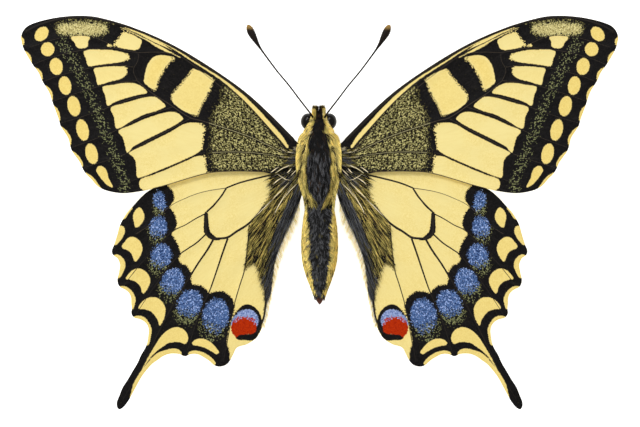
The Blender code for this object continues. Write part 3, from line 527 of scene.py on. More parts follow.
def wing_sheet(name, outline):
    """A fine flat grid trimmed to the outline, given a lower skin, and drawn to a thin edge all round."""
    edge = curve_through(outline, closed=True, step=0.25)
    low, high = edge.min(0) - CELL, edge.max(0) + CELL
    width, height = high - low
    deselect()
    bpy.ops.mesh.primitive_grid_add(
        x_subdivisions=round(width / CELL), y_subdivisions=round(height / CELL), size=1.0,
        location=(*(low + high) / 2, 0.0))
    ob = bpy.context.object
    ob.name = name
    ob.scale = (width, height, 1.0)
    bpy.ops.object.transform_apply(location=True, rotation=True, scale=True)
    mesh = ob.data
    centres = np.zeros(len(mesh.polygons) * 3)
    mesh.polygons.foreach_get("center", centres)
    outside = loop_distance(centres.reshape(-1, 3)[:, :2], outline, step=0.25) < 0
    select_in(mesh, "polygons", outside)
    bpy.ops.object.mode_set(mode="EDIT")
    bpy.ops.mesh.delete(type="FACE")
    bpy.ops.object.mode_set(mode="OBJECT")

    border = border_points(mesh)
    places = places_of(mesh)
    ends = np.roll(edge, -1, axis=0)
    away, which, along = nearest_on(places[border, :2], edge, ends)
    places[border, :2] = edge[which] + (ends[which] - edge[which]) * along[:, None]
    set_places(mesh, places)
    bpy.ops.object.mode_set(mode="EDIT")
    bpy.ops.mesh.select_all(action="SELECT")
    bpy.ops.mesh.remove_doubles(threshold=CELL * 0.25)
    bpy.ops.object.mode_set(mode="OBJECT")
    select_in(mesh, "vertices", ~border_points(mesh))
    bpy.ops.object.mode_set(mode="EDIT")
    bpy.ops.mesh.vertices_smooth(factor=0.5, repeat=4)
    bpy.ops.object.mode_set(mode="OBJECT")

    wall = ob.modifiers.new("lower skin", "SOLIDIFY")
    wall.thickness = MEMBRANE
    wall.offset = 0.0
    wall.use_rim = False
    bpy.ops.object.modifier_apply(modifier=wall.name)
    places = places_of(mesh)
    places[border_points(mesh), 2] = 0.0
    set_places(mesh, places)
    bpy.ops.object.mode_set(mode="EDIT")
    bpy.ops.mesh.select_all(action="SELECT")
    bpy.ops.mesh.remove_doubles(threshold=0.001)
    bpy.ops.mesh.normals_make_consistent(inside=False)
    bpy.ops.object.mode_set(mode="OBJECT")
    return ob


def vein_tubes(veins):
    """One mesh of thin tapered tubes, with each tube's tone kept on its points."""
    tubes = []
    for root, tip, tone, points in veins.values():
        line = curve_through(points, step=0.3)
        deselect()
        bpy.ops.curve.primitive_nurbs_path_add()
        ob = bpy.context.object
        curve = ob.data
        curve.splines.clear()
        spline = curve.splines.new("POLY")
        spline.points.add(len(line) - 1)
        widths = np.linspace(root, tip, len(line))
        for point, (x, y), half in zip(spline.points, line, widths):
            point.co = (x, y, 0.0, 1.0)
            point.radius = half
        curve.bevel_depth = 1.0
        curve.bevel_resolution = 1
        curve.use_fill_caps = True
        ob.location = (0, 0, 0)
        bpy.ops.object.convert(target="MESH")
        add_values(ob.data, "tone", np.full(len(ob.data.vertices), float(tone)))
        tubes.append(ob)
    joined = join(tubes)
    bpy.ops.object.mode_set(mode="EDIT")
    bpy.ops.mesh.select_all(action="SELECT")
    bpy.ops.mesh.remove_doubles(threshold=0.0005)
    bpy.ops.mesh.normals_make_consistent(inside=False)
    bpy.ops.object.mode_set(mode="OBJECT")
    return joined


def join(objects):
    """Joins objects into the first one."""
    deselect()
    for ob in objects:
        ob.select_set(True)
    bpy.context.view_layer.objects.active = objects[0]
    bpy.ops.object.join()
    return objects[0]


def add_values(mesh, name, values):
    """Keeps one number for each vertex under a name that materials read."""
    layer = mesh.attributes.new(name, "FLOAT", "POINT")
    layer.data.foreach_set("value", np.asarray(values, dtype=np.float32))


def largest(distances):
    return np.max(np.array(distances), axis=0)


def fringe_distance(places):
    """Distance inside the yellow slivers between the black points of the forewing's outer margin."""
    edge = curve_through(FOREWING_OUTLINE, closed=True)
    depth, which, along = nearest_on(places, edge, np.roll(edge, -1, axis=0))
    heights = edge[which, 1]
    ends = np.array(FOREWING_FRINGE_ENDS)
    top = np.clip(np.searchsorted(-ends, -heights) - 1, 0, len(ends) - 2)
    start, stop = ends[top] - FRINGE_GAP, ends[top + 1] + FRINGE_GAP
    part = np.clip((start - heights) / (start - stop), 0, 1)
    outer = (places[:, 0] > 26) & (heights < ends[0]) & (heights > ends[-1])
    reach = np.where(outer, FRINGE_DEPTH * np.sqrt(np.sin(np.pi * part)), 0) - 0.05
    return np.clip(reach - depth, -FAR, FAR)


def forewing_markings(places):
    """Every value that the wing material reads, for each place on a forewing."""
    spots = largest([oval_distance(places, spot) for spot in FOREWING_SPOTS]
                    + [loop_distance(places, FOREWING_TEARDROP)])
    patches = {name: loop_distance(places, patch) for name, patch in FOREWING_PATCHES.items()}
    streaks = largest([streak_distance(places, *streak) for streak in FOREWING_STREAKS])
    fringe = fringe_distance(places)
    basal = loop_distance(places, BASAL_DUST)
    apical = loop_distance(places, APICAL_DUST)
    band = line_distance(places, SUBMARGINAL_DUST)
    ragged = np.min([line_distance(places, line) for line in FOREWING_RAGGED], axis=0)
    # Dust is kept back within about 0.2 mm of the pale root veins, leaving a black line beside them: painted shadow of
    # the raised veins.
    vein_shadow_distance = np.min([line_distance(places, FOREWING_VEINS[name][3])
                           for name in ("cubitus_root", "anal_root")], axis=0)
    dust = largest([
        0.54 * ease(-0.9, 0.5, basal) * ease(0.05, 0.22, vein_shadow_distance),
        ease(-0.8, 0.5, apical),
        0.45 * ease(0.16, 0.04, line_distance(places, APICAL_LINE)),
        0.27 * ease(1.2, 0.1, band),
    ])
    deep = largest([depth * ease(-0.1, 0.6, patches[name]) for name, depth in PATCH_DEPTH.items()]
                   + [ease(-0.1, 0.1, np.maximum(spots, fringe)), 0.3 * ease(-0.05, 0.1, streaks)])
    return {
        "yellow": largest([spots, *patches.values(), streaks, fringe]),
        "deep": deep,
        "dust": dust,
        "light_dust": ease(-0.5, 0.5, apical),
        "ragged": ease(0.9, 0.2, ragged),
        "blue": np.zeros(len(places)),
        "green": ease(1.4, 0.6, band),
        "sky": np.full(len(places), -FAR),
        "red": np.full(len(places), -FAR),
        "fur": np.full(len(places), -FAR),
        "lay": np.full(len(places), FOREWING_LAY),
    }


def blue_cover(places):
    """How densely blue scales lie in each cloud: sharp on its inner side, thinning out towards the margin."""
    cover = np.zeros(len(places))
    trail = np.zeros(len(places))
    for x, y, half_width, half_height, lean in BLUE_CLOUDS:
        out = np.array([math.sin(math.radians(CLOUD_TRAIL)), -math.cos(math.radians(CLOUD_TRAIL))])
        along = (places - (x, y)) @ out / half_height
        core = oval_distance(places, (x, y, half_width, half_height, lean))
        wide = oval_distance(places, (*(np.array([x, y]) + out * 0.45 * half_height), half_width * 1.1,
                                      half_height * 1.12, lean))
        cover = np.maximum(cover, ease(-0.25, 0.25, core) * (1.0 - 0.75 * ease(0.05, 1.05, along)))
        trail = np.maximum(trail, ease(-0.35, 0.35, wide) * ease(-0.2, 0.7, along))
    return cover, trail


def hindwing_markings(places):
    """Every value that the wing material reads, for each place on a hindwing."""
    field = loop_distance(places, HINDWING_YELLOW)
    scallops = ease(0.5, 0.1, np.abs(field))
    field = np.minimum(field, -loop_distance(places, HINDWING_BAR))
    field = np.minimum(field, -loop_distance(places, EYESPOT_RING))
    field = np.minimum(field, -loop_distance(places, EYESPOT_STREAK))
    lunules = largest([loop_distance(places, lunule) for lunule in LUNULES])
    crescents = largest([loop_distance(places, crescent) for crescent in MARGIN_CRESCENTS])
    cover, trail = blue_cover(places)
    return {
        "yellow": largest([field, lunules, crescents]),
        "deep": np.maximum(ease(-0.1, 0.1, np.maximum(lunules, crescents)) * 0.8,
                           0.3 * ease(-6.0, -22.0, places[:, 1])),
        "dust": 0.30 * trail,
        "light_dust": np.zeros(len(places)),
        "ragged": scallops * 0.4,
        "blue": cover,
        "green": trail,
        "sky": loop_distance(places, EYESPOT_SKY),
        "red": loop_distance(places, EYESPOT_RED),
        "fur": loop_distance(places, HAIRY_FIELD),
        "lay": np.full(len(places), HINDWING_LAY),
    }


class Shading:
    """A procedural material, built node by node."""

    def __init__(self, name, roughness=0.7, specular=0.3):
        self.material = bpy.data.materials.new(name)
        self.material.use_nodes = True
        self.tree = self.material.node_tree
        self.shader = self.tree.nodes["Principled BSDF"]
        self.shader.inputs["Roughness"].default_value = roughness
        self.shader.inputs["Specular IOR Level"].default_value = specular

    def node(self, kind, inputs=(), **settings):
        node = self.tree.nodes.new(kind)
        for key, value in settings.items():
            setattr(node, key, value)
        for key, value in dict(inputs).items():
            self.feed(node.inputs[key], value)
        return node

    def feed(self, socket, value):
        if isinstance(value, bpy.types.NodeSocket):
            self.tree.links.new(value, socket)
        elif isinstance(value, tuple) and len(value) == 3 and socket.type == "RGBA":
            socket.default_value = (*value, 1.0)
        else:
            socket.default_value = value

    def maths(self, operation, a, b=0.0, clamp=False):
        return self.node("ShaderNodeMath", {0: a, 1: b}, operation=operation, use_clamp=clamp).outputs[0]

    def stored(self, name):
        return self.node("ShaderNodeAttribute", attribute_name=name).outputs["Fac"]

    def ramp(self, value, low, high, start=0.0, end=1.0):
        """The value's place between low and high, eased, as a number from start to end."""
        return self.node(
            "ShaderNodeMapRange", {0: value, 1: low, 2: high, 3: start, 4: end},
            interpolation_type="SMOOTHSTEP").outputs[0]

    def mix(self, amount, a, b, blend="MIX"):
        node = self.node("ShaderNodeMix", data_type="RGBA", blend_type=blend)
        self.feed(node.inputs[0], amount)
        self.feed(node.inputs[6], a)
        self.feed(node.inputs[7], b)
        return node.outputs[2]

    def places(self):
        """Where a point is in millimetres, the same on both halves of the butterfly."""
        split = self.node(
            "ShaderNodeSeparateXYZ", {0: self.node("ShaderNodeTexCoord").outputs["Object"]})
        out = [self.maths("MULTIPLY", self.maths("ABSOLUTE", split.outputs[0]), 1000.0),
               self.maths("MULTIPLY", split.outputs[1], 1000.0),
               self.maths("MULTIPLY", split.outputs[2], 1000.0)]
        joined = self.node("ShaderNodeCombineXYZ", {0: out[0], 1: out[1], 2: out[2]}).outputs[0]
        return joined, out

    def noise(self, places, size, detail=2.0, roughness=0.5):
        return self.node("ShaderNodeTexNoise", {
            "Vector": places, "Scale": 1.0 / size, "Detail": detail, "Roughness": roughness}).outputs["Fac"]

    def cells(self, places, size, flat=True):
        """A random number triple and a distance for each of many small cells."""
        node = self.node("ShaderNodeTexVoronoi", voronoi_dimensions="2D" if flat else "3D",
                         inputs={"Vector": places, "Scale": 1.0 / size})
        split = self.node("ShaderNodeSeparateColor", {0: node.outputs["Color"]})
        return split.outputs, node.outputs["Distance"]

    def bump(self, height, distance, strength=1.0):
        self.feed(self.shader.inputs["Normal"], self.node(
            "ShaderNodeBump", {"Height": height, "Distance": distance, "Strength": strength}).outputs[0])

    def finish(self, colour):
        self.feed(self.shader.inputs["Base Color"], colour)
        return self.material


def screen(red, green, blue):
    """A colour read off a screen, 0 to 255, as the renderer's linear light."""
    return tuple((v / 255 / 12.92) if v < 10 else ((v / 255 + 0.055) / 1.055) ** 2.4 for v in (red, green, blue))


def wing_scales():
    """Single scales as small cells: each has its own shade, and edges and dustings break up into them."""
    s = Shading("wing_scales", roughness=0.6, specular=0.05)
    places, (x, y, z) = s.places()
    laid = s.node("ShaderNodeVectorRotate", {"Vector": places, "Angle": s.stored("lay")},
                  rotation_type="Z_AXIS").outputs[0]
    laid = s.node("ShaderNodeVectorMath", {0: laid, 1: (0.75, 1.0, 1.0)}, operation="MULTIPLY").outputs[0]
    random, edge = s.cells(laid, 0.09)
    other, other_edge = s.cells(laid, 0.1)
    cloud = s.noise(places, 3.5, detail=3.0)
    around = s.maths("ARCTAN2", s.maths("ADD", y, 1.0), s.maths("ADD", x, 2.0))
    out = s.maths("SQRT", s.maths("ADD", s.maths("MULTIPLY", x, x), s.maths("MULTIPLY", y, y)))
    grain = s.node("ShaderNodeCombineXYZ", {
        0: s.maths("MULTIPLY", around, 60.0), 1: s.maths("MULTIPLY", out, 0.5)}).outputs[0]
    streak = s.noise(grain, 1.0, detail=3.0)
    under = s.ramp(s.stored("under"), 0.4, 0.6)

    black = s.mix(random[0], screen(10, 9, 9), screen(27, 25, 25))
    # Lighter streaks through the black along the scales' grain: partly the scales' own streaks, partly painted sheen.
    black = s.mix(s.ramp(streak, 0.55, 0.8), black, screen(37, 34, 32))
    yellow = s.mix(random[1], screen(238, 216, 134), screen(249, 230, 156))
    yellow = s.mix(s.ramp(cloud, 0.35, 0.65), yellow, screen(244, 226, 152))
    deep = s.mix(random[1], screen(235, 206, 112), screen(247, 223, 136))
    yellow = s.mix(s.stored("deep"), yellow, deep)
    # Darker streaks through the yellow along the soft folds: partly the scales' own streaks, partly painted shade of
    # the folds.
    yellow = s.mix(s.ramp(streak, 0.35, 0.75, 0.0, 0.18), yellow, screen(226, 200, 116))
    rim = s.maths("MULTIPLY", s.ramp(s.stored("yellow"), 0.3, 0.0), 0.25)
    yellow = s.mix(rim, yellow, screen(238, 205, 115))

    spare = s.maths("SUBTRACT", other[0], s.maths("SUBTRACT", 1.0, s.stored("dust")))
    dust_colour = s.mix(s.ramp(spare, 0.1, 0.5), screen(84, 78, 42), screen(206, 197, 128))
    dust_colour = s.mix(s.maths("MULTIPLY", s.stored("green"), 0.5), dust_colour, screen(150, 158, 110))
    light = s.mix(other[1], screen(142, 128, 68), screen(236, 224, 158))
    dust_colour = s.mix(s.stored("light_dust"), dust_colour, light)
    colour = s.mix(s.ramp(spare, -0.02, 0.04), black, dust_colour)

    blue = s.mix(random[1], screen(18, 36, 80), screen(98, 130, 184))
    blue = s.mix(s.ramp(other[2], 0.84, 0.9), blue, screen(168, 190, 238))
    is_blue = s.maths("LESS_THAN", random[2], s.stored("blue"))
    colour = s.mix(is_blue, colour, blue)

    jag = s.maths("ADD", s.maths("MULTIPLY", s.stored("ragged"), 0.38), 0.07)
    shift = s.maths("MULTIPLY", s.maths("SUBTRACT", random[0], 0.5), jag)
    is_yellow = s.ramp(s.maths("ADD", s.stored("yellow"), shift), -0.035, 0.035)
    colour = s.mix(is_yellow, colour, yellow)
    sky = s.maths("ADD", s.stored("sky"), s.maths("MULTIPLY", s.maths("SUBTRACT", random[0], 0.5), 0.2))
    sky_colour = s.mix(random[1], screen(78, 100, 160), screen(172, 188, 226))
    colour = s.mix(s.ramp(sky, -0.03, 0.03), colour, sky_colour)
    mingled = s.ramp(s.stored("sky"), 0.0, 0.5, 0.12, 0.75)
    red = s.maths("ADD", s.stored("red"), s.maths("MULTIPLY", s.maths("SUBTRACT", random[2], 0.5), mingled))
    red_colour = s.mix(random[1], screen(158, 32, 0), screen(190, 50, 0))
    colour = s.mix(s.ramp(red, -0.04, 0.04), colour, red_colour)

    fur = s.maths("ADD", s.stored("fur"), s.maths("MULTIPLY", s.maths("SUBTRACT", streak, 0.5), 1.2))
    fur = s.maths("ADD", fur, s.maths("MULTIPLY", s.maths("SUBTRACT", random[0], 0.5), 0.5))
    fur_colour = s.mix(s.ramp(streak, 0.45, 0.7), screen(22, 20, 20), screen(74, 68, 46))
    colour = s.mix(s.ramp(fur, -0.1, 0.15), colour, fur_colour)

    frosted = s.mix(s.maths("LESS_THAN", other[2], 0.35), colour, screen(214, 200, 138))
    colour = s.mix(under, colour, frosted)
    height = s.maths("ADD", s.maths("MULTIPLY", edge, 0.5), s.maths("MULTIPLY", streak, 0.5))
    s.bump(height, 0.00003, 0.5)
    return s.finish(colour)


def vein_horn():
    """The veins: black, brown or pale by their tone, a little mottled."""
    s = Shading("wing_vein", roughness=0.5, specular=0.1)
    places, parts = s.places()
    grain = s.noise(places, 0.25)
    tone = s.stored("tone")
    dark = s.mix(grain, screen(16, 14, 13), screen(44, 38, 32))
    brown = s.mix(grain, screen(30, 26, 24), screen(84, 72, 58))
    pale = s.mix(grain, screen(130, 120, 76), screen(214, 204, 150))
    colour = s.mix(s.ramp(tone, 0.2, 0.8), dark, brown)
    colour = s.mix(s.ramp(tone, 1.2, 1.8), colour, pale)
    s.bump(grain, 0.00003, 0.5)
    return s.finish(colour)


def flat_map(ob, low, high):
    """A map that shows the upper and the lower skin side by side, both as seen from above."""
    mesh = ob.data
    layer = mesh.uv_layers.new(name="OFBake")
    corners = np.zeros(len(mesh.loops), int)
    mesh.loops.foreach_get("vertex_index", corners)
    spots = places_of(mesh)[corners, :2]
    totals = np.zeros(len(mesh.polygons), int)
    mesh.polygons.foreach_get("loop_total", totals)
    normals = np.zeros(len(mesh.polygons) * 3)
    mesh.polygons.foreach_get("normal", normals)
    lower = np.repeat(normals.reshape(-1, 3)[:, 2] < 0, totals)
    width, height = high - low
    tall = height < width
    pitch = max(width, height, 2 * min(width, height)) * 1.02
    uv = (spots - low) / pitch + 0.005
    uv[lower, 1 if tall else 0] += 0.5
    layer.data.foreach_set("uv", uv.astype(np.float32).ravel())


def wing(name, node, outline, veins, level, markings, materials):
    """One right wing: the sheet with its markings, lifted onto the arch, and its veins."""
    sheet = wing_sheet(name, outline)
    places = places_of(sheet.data)
    flat = places[:, :2]
    for key, values in markings(flat).items():
        add_values(sheet.data, key, values)
    add_values(sheet.data, "under", (places[:, 2] < 0).astype(float))
    places[:, 2] += level + wing_height(flat[:, 0], flat[:, 1]) + wing_relief(flat, veins)
    set_places(sheet.data, places)
    sheet.data.materials.append(materials[0])

    tubes = vein_tubes(veins)
    places = places_of(tubes.data)
    flat = places[:, :2]
    places[:, 2] = places[:, 2] * 0.55 + np.sign(places[:, 2]) * 0.04
    places[:, 2] += level + wing_height(flat[:, 0], flat[:, 1]) + wing_relief(flat, veins)
    set_places(tubes.data, places)
    tubes.data.materials.append(materials[1])

    whole = join([sheet, tubes])
    edge = curve_through(outline, closed=True)
    flat_map(whole, edge.min(0) - 0.3, edge.max(0) + 0.3)
    make_active(whole)
    whole.scale = (MM, MM, MM)
    bpy.ops.object.transform_apply(location=False, rotation=False, scale=True)
    bpy.ops.object.shade_smooth_by_angle(angle=math.radians(40))
    return whole


def mirrored(ob, name):
    """The piece's mirror image across the midline, with its faces pointing out."""
    make_active(ob)
    bpy.ops.object.duplicate()
    copy = bpy.context.object
    copy.name = name
    copy.scale = (-1, 1, 1)
    bpy.ops.object.transform_apply(location=False, rotation=False, scale=True)
    return copy


def place(ob, node):
    """Attaches the piece to the root and hides the frame node that it stands for."""
    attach(ob, "root")
    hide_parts(node)


def wings():
    materials = (wing_scales(), vein_horn())
    for stem, outline, veins, level, markings in (
            ("forewing", FOREWING_OUTLINE, FOREWING_VEINS, FOREWING_LEVEL, forewing_markings),
            ("hindwing", HINDWING_OUTLINE, HINDWING_VEINS, HINDWING_LEVEL, hindwing_markings)):
        right = wing(stem + "_scaled_right", stem + "_right", outline, veins, level, markings, materials)
        left = mirrored(right, stem + "_scaled_left")
        place(right, stem + "_right")
        place(left, stem + "_left")

def as_piece(ob, material, smooth=50):
    """Gives a finished piece its material, smooth shading, and its size in metres."""
    ob.data.materials.clear()
    ob.data.materials.append(material)
    make_active(ob)
    ob.scale = (MM, MM, MM)
    bpy.ops.object.transform_apply(location=True, rotation=True, scale=True)
    bpy.ops.object.shade_smooth_by_angle(angle=math.radians(smooth))
    return ob


def body_offset(y):
    return BODY_OFFSET * ease(-6.5, -2.5, y)


class Form:
    """A body form of oval sections along Y, with places and outward directions anywhere on its skin."""

    def __init__(self, stations):
        line = curve_through(stations)
        self.line = line[np.argsort(line[:, 0])]

    def section(self, y):
        half, low, high = (np.interp(y, self.line[:, 0], self.line[:, i]) for i in (1, 2, 3))
        return half, (low + high) / 2, (high - low) / 2

    def skin(self, spots):
        """The place and the outward direction at each (way round from the top, y)."""
        turn = spots[:, 0] / ROUND_SCALE
        half, middle, tall = self.section(spots[:, 1])
        places = np.column_stack([half * np.sin(turn), spots[:, 1], middle + tall * np.cos(turn)])
        outward = np.column_stack([np.sin(turn) / half, 0 * turn, np.cos(turn) / tall])
        return places, outward / np.linalg.norm(outward, axis=1)[:, None]

    def solid(self, name, rings=110, around=72):
        """The form itself: a ball drawn out along Y and given the sections."""
        deselect()
        bpy.ops.mesh.primitive_uv_sphere_add(segments=around, ring_count=rings, radius=1.0)
        ob = bpy.context.object
        ob.name = name
        ob.rotation_euler = (math.radians(90), 0, 0)
        bpy.ops.object.transform_apply(location=True, rotation=True, scale=True)
        places = places_of(ob.data)
        along = places[:, 1].copy()
        back, front = self.line[0, 0], self.line[-1, 0]
        y = (front + back) / 2 + (front - back) / 2 * along
        half, middle, tall = self.section(y)
        across = np.hypot(places[:, 0], places[:, 2])
        close = np.sqrt(np.clip(1 - along**10, 0, 1)) / np.maximum(across, 1e-6)
        places[:, 0] *= half * close
        places[:, 2] = middle + places[:, 2] * tall * close
        places[:, 1] = y
        set_places(ob.data, places)
        return ob


def joint_pinch(y):
    """How far the abdomen draws in at the joints between its rings."""
    return sum(JOINT_PINCH * np.exp(-((y - joint) / 0.2) ** 2) for joint in ABDOMEN_JOINTS)


def shift_body(mesh):
    places = places_of(mesh)
    places[:, 0] += body_offset(places[:, 1])
    set_places(mesh, places)


def tube(name, points, sides=2, step=0.1, rings=0.0, swell=0.06, from_y=None):
    """A round tube through (x, y, z, half thickness); with rings it swells a little at every ring."""
    line = curve_through(points, step=step)
    along = np.concatenate([[0], np.cumsum(np.linalg.norm(np.diff(line[:, :3], axis=0), axis=1))])
    if rings:
        line[:, 3] *= 1 + swell * np.cos(2 * np.pi * along / rings)
    deselect()
    bpy.ops.curve.primitive_nurbs_path_add()
    ob = bpy.context.object
    ob.name = name
    ob.location = (0, 0, 0)
    curve = ob.data
    curve.splines.clear()
    spline = curve.splines.new("POLY")
    spline.points.add(len(line) - 1)
    for point, (x, y, z, half) in zip(spline.points, line):
        point.co = (x, y, z, 1.0)
        point.radius = max(half, 0.004)
    curve.bevel_depth = 1.0
    curve.bevel_resolution = sides
    curve.use_fill_caps = True
    bpy.ops.object.convert(target="MESH")
    bpy.ops.object.mode_set(mode="EDIT")
    bpy.ops.mesh.select_all(action="SELECT")
    bpy.ops.mesh.remove_doubles(threshold=0.0005)
    bpy.ops.mesh.normals_make_consistent(inside=False)
    bpy.ops.object.mode_set(mode="OBJECT")
    return ob


def strand_mesh(name, lines, halves, tones, shades):
    """Many hairs as one mesh. Each is three-sided, tapers to a point and has its own tone and shade."""
    count, rings = len(lines), lines.shape[1] - 1
    run = lines[:, -1] - lines[:, 0]
    run /= np.linalg.norm(run, axis=1)[:, None]
    side = np.cross(run, (0.12, 0.21, 1.0))
    side /= np.linalg.norm(side, axis=1)[:, None]
    other = np.cross(run, side)
    turns = 2 * np.pi * np.arange(3) / 3
    round_it = side[:, None] * np.cos(turns)[:, None] + other[:, None] * np.sin(turns)[:, None]
    taper = 1 - 0.6 * (np.arange(rings) / rings) ** 1.5
    body = lines[:, :rings, None] + round_it[:, None] * (halves[:, None] * taper)[..., None, None]
    each = rings * 3 + 1
    points = np.concatenate([body.reshape(count, rings * 3, 3), lines[:, -1:]], axis=1)

    walls = [(j * 3 + i, j * 3 + (i + 1) % 3, j * 3 + 3 + (i + 1) % 3, j * 3 + 3 + i)
             for j in range(rings - 1) for i in range(3)]
    last = (rings - 1) * 3
    caps = [(last + i, last + (i + 1) % 3, each - 1) for i in range(3)] + [(2, 1, 0)]
    pattern = np.array([corner for face in walls + caps for corner in face])
    sizes = np.array([len(face) for face in walls + caps])
    mesh = bpy.data.meshes.new(name)
    mesh.vertices.add(count * each)
    mesh.vertices.foreach_set("co", points.astype(np.float32).ravel())
    mesh.loops.add(count * len(pattern))
    corners = (np.arange(count)[:, None] * each + pattern).ravel()
    mesh.loops.foreach_set("vertex_index", corners.astype(np.int32))
    mesh.polygons.add(count * len(sizes))
    starts = np.concatenate([[0], np.cumsum(np.tile(sizes, count))[:-1]])
    mesh.polygons.foreach_set("loop_start", starts.astype(np.int32))
    mesh.update(calc_edges=True)
    mesh.validate()

    steps = np.round(shades * (SHADES - 1))
    reach = np.append(np.repeat(np.arange(rings) / rings, 3), 1.0)
    add_values(mesh, "tone", np.repeat(tones / (len(HAIR_COLOURS) - 1), each))
    add_values(mesh, "shade", np.repeat(steps / (SHADES - 1), each))
    add_values(mesh, "reach", np.tile(reach, count))
    layer = mesh.uv_layers.new(name="OFBake")
    strips = SHADES * len(HAIR_COLOURS)
    across = np.array([i for face in walls for i in (0.1, 0.9, 0.9, 0.1)]
                      + [i for face in caps for i in (0.1, 0.9, 0.5)])
    row = (np.repeat(tones * SHADES + steps, len(pattern)) + np.tile(across, count)) / strips
    along = np.tile(reach[pattern], count) * 0.98 + 0.01
    layer.data.foreach_set("uv", np.column_stack([along, row]).astype(np.float32).ravel())
    ob = bpy.data.objects.new(name, mesh)
    bpy.context.scene.collection.objects.link(ob)
    return ob


def comb(rng, skin, flow, roots, lengths, lifts, locks, gather, rings=3):
    """Hairs combed along a flow over a skin, drawn together into locks: centre lines and lock numbers."""
    path = [roots]
    for step in range(rings):
        path.append(path[-1] + flow(path[-1]) * (lengths / rings)[:, None])
    path = np.array(path)
    leaders = rng.choice(len(roots), locks, replace=False)
    near = np.argmin(((roots[:, None] - roots[leaders][None]) ** 2).sum(axis=2), axis=1)
    t = np.linspace(0, 1, rings + 1)[:, None, None]
    path += (path[:, leaders[near]] - path) * gather * t ** 1.5
    path += rng.normal(0, 0.04, path.shape) * t
    places, outward = skin(path.reshape(-1, 2))
    places = places.reshape(rings + 1, -1, 3)
    rise = lifts[None, :, None] * (t * (2 - t)) - 0.03 * (1 - t)
    lines = places + outward.reshape(places.shape) * rise
    return lines.transpose(1, 0, 2), near, roots[leaders]


def coat(rng, skin, flow, roots, tone_of, length, lift, half, locks, gather=0.75, rings=3):
    """One coat of hair: centre lines, half widths, tones and shades."""
    count = len(roots)
    lengths = rng.uniform(*length, count)
    lifts = rng.uniform(*lift, count)
    lines, near, leaders = comb(rng, skin, flow, roots, lengths, lifts, locks, gather, rings)
    own = tone_of(rng, roots)
    shared = tone_of(rng, leaders)[near]
    tones = np.where(rng.random(count) < 0.75, shared, own)
    shades = 0.7 * rng.random(locks)[near] + 0.3 * rng.random(count)
    return lines, rng.uniform(*half, count), tones, shades


def hair_piece(name, coats, material, shift=False):
    """Joins coats of hair into one piece that rides on the body."""
    lines, halves, tones, shades = (np.concatenate([coat[i] for coat in coats]) for i in range(4))
    ob = strand_mesh(name, lines, halves, tones, shades)
    places = places_of(ob.data)
    places[:, 2] = np.maximum(places[:, 2], CLEAR_OF_TABLE)
    set_places(ob.data, places)
    if shift:
        shift_body(ob.data)
    as_piece(ob, material, smooth=100)
    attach(ob, "root")
    return ob


def chosen(rng, count, weights):
    """A tone for each of some hairs, drawn by weight."""
    tones = list(weights)
    parts = np.array([weights[tone] for tone in tones], float)
    return rng.choice(tones, count, p=parts / parts.sum())


def where_tone(rng, rules, rest):
    """Draws tones by the first rule whose mask holds: rules are (mask, weights)."""
    count = len(rules[0][0])
    tones = chosen(rng, count, rest)
    for mask, weights in reversed(rules):
        tones = np.where(mask, chosen(rng, count, weights), tones)
    return tones


def scatter(rng, count, low, high, keep):
    """Random spots inside a box for which keep holds."""
    out = np.zeros((0, 2))
    while len(out) < count:
        spots = rng.uniform(low, high, (count * 2, 2))
        out = np.vstack([out, spots[keep(spots)]])
    return out[:count]


def unit(vectors):
    return vectors / np.maximum(np.linalg.norm(vectors, axis=1), 1e-6)[:, None]


def thorax_flow(spots):
    """Back along the thorax: out at the shoulders and the sides, and in towards the midline at the rear."""
    side = np.sign(spots[:, 0])
    away = np.abs(spots[:, 0])
    y = spots[:, 1]
    shoulder = 0.5 * ease(1.5, 2.3, away) * ease(-1.0, 1.0, y) + 0.3 * ease(2.6, 3.6, y)
    flank = 0.45 * ease(2.6, 3.6, away) * ease(2.5, -2.5, y)
    rear = 0.85 * ease(-3.0, -5.4, y) * ease(3.1, 2.0, away)
    out = 0.04 + shoulder + flank - rear
    return unit(np.column_stack([side * out * ease(0.1, 0.9, away), np.full(len(spots), -1.0)]))


def over_wings(lines):
    """Lifts hair of the upper body so that it lies on the wings' roots and over the inner edge of the eyes."""
    x, y, z = np.abs(lines[..., 0]), lines[..., 1], lines[..., 2]
    step = (FOREWING_LEVEL - HINDWING_LEVEL) * ease(-1.2, -2.6, y)
    lifted = FOREWING_LEVEL - step + 0.45 + wing_height(x, y) - 0.9 * ease(1.6, 2.8, y)
    upper = lines[:, :1, 2] > 3.0
    lines[..., 2] = np.where(upper & (x > 1.7) & (y < 2.8), np.maximum(z, lifted), z)
    across, along = (x - EYE_CENTRE[0]) / EYE_SIZE[0], (y - EYE_CENTRE[1]) / EYE_SIZE[1]
    over_eye = EYE_CENTRE[2] + EYE_SIZE[2] * np.sqrt(np.clip(1 - across**2 - along**2, 0, 1)) + 0.06
    near_eye = (across**2 + along**2 < 1) & (lines[:, :1, 2] > 3.6) & (x < 1.1 + 0.9 * ease(5.7, 4.1, y))
    lines[..., 2] = np.where(near_eye, np.maximum(lines[..., 2], over_eye), lines[..., 2])
    return lines


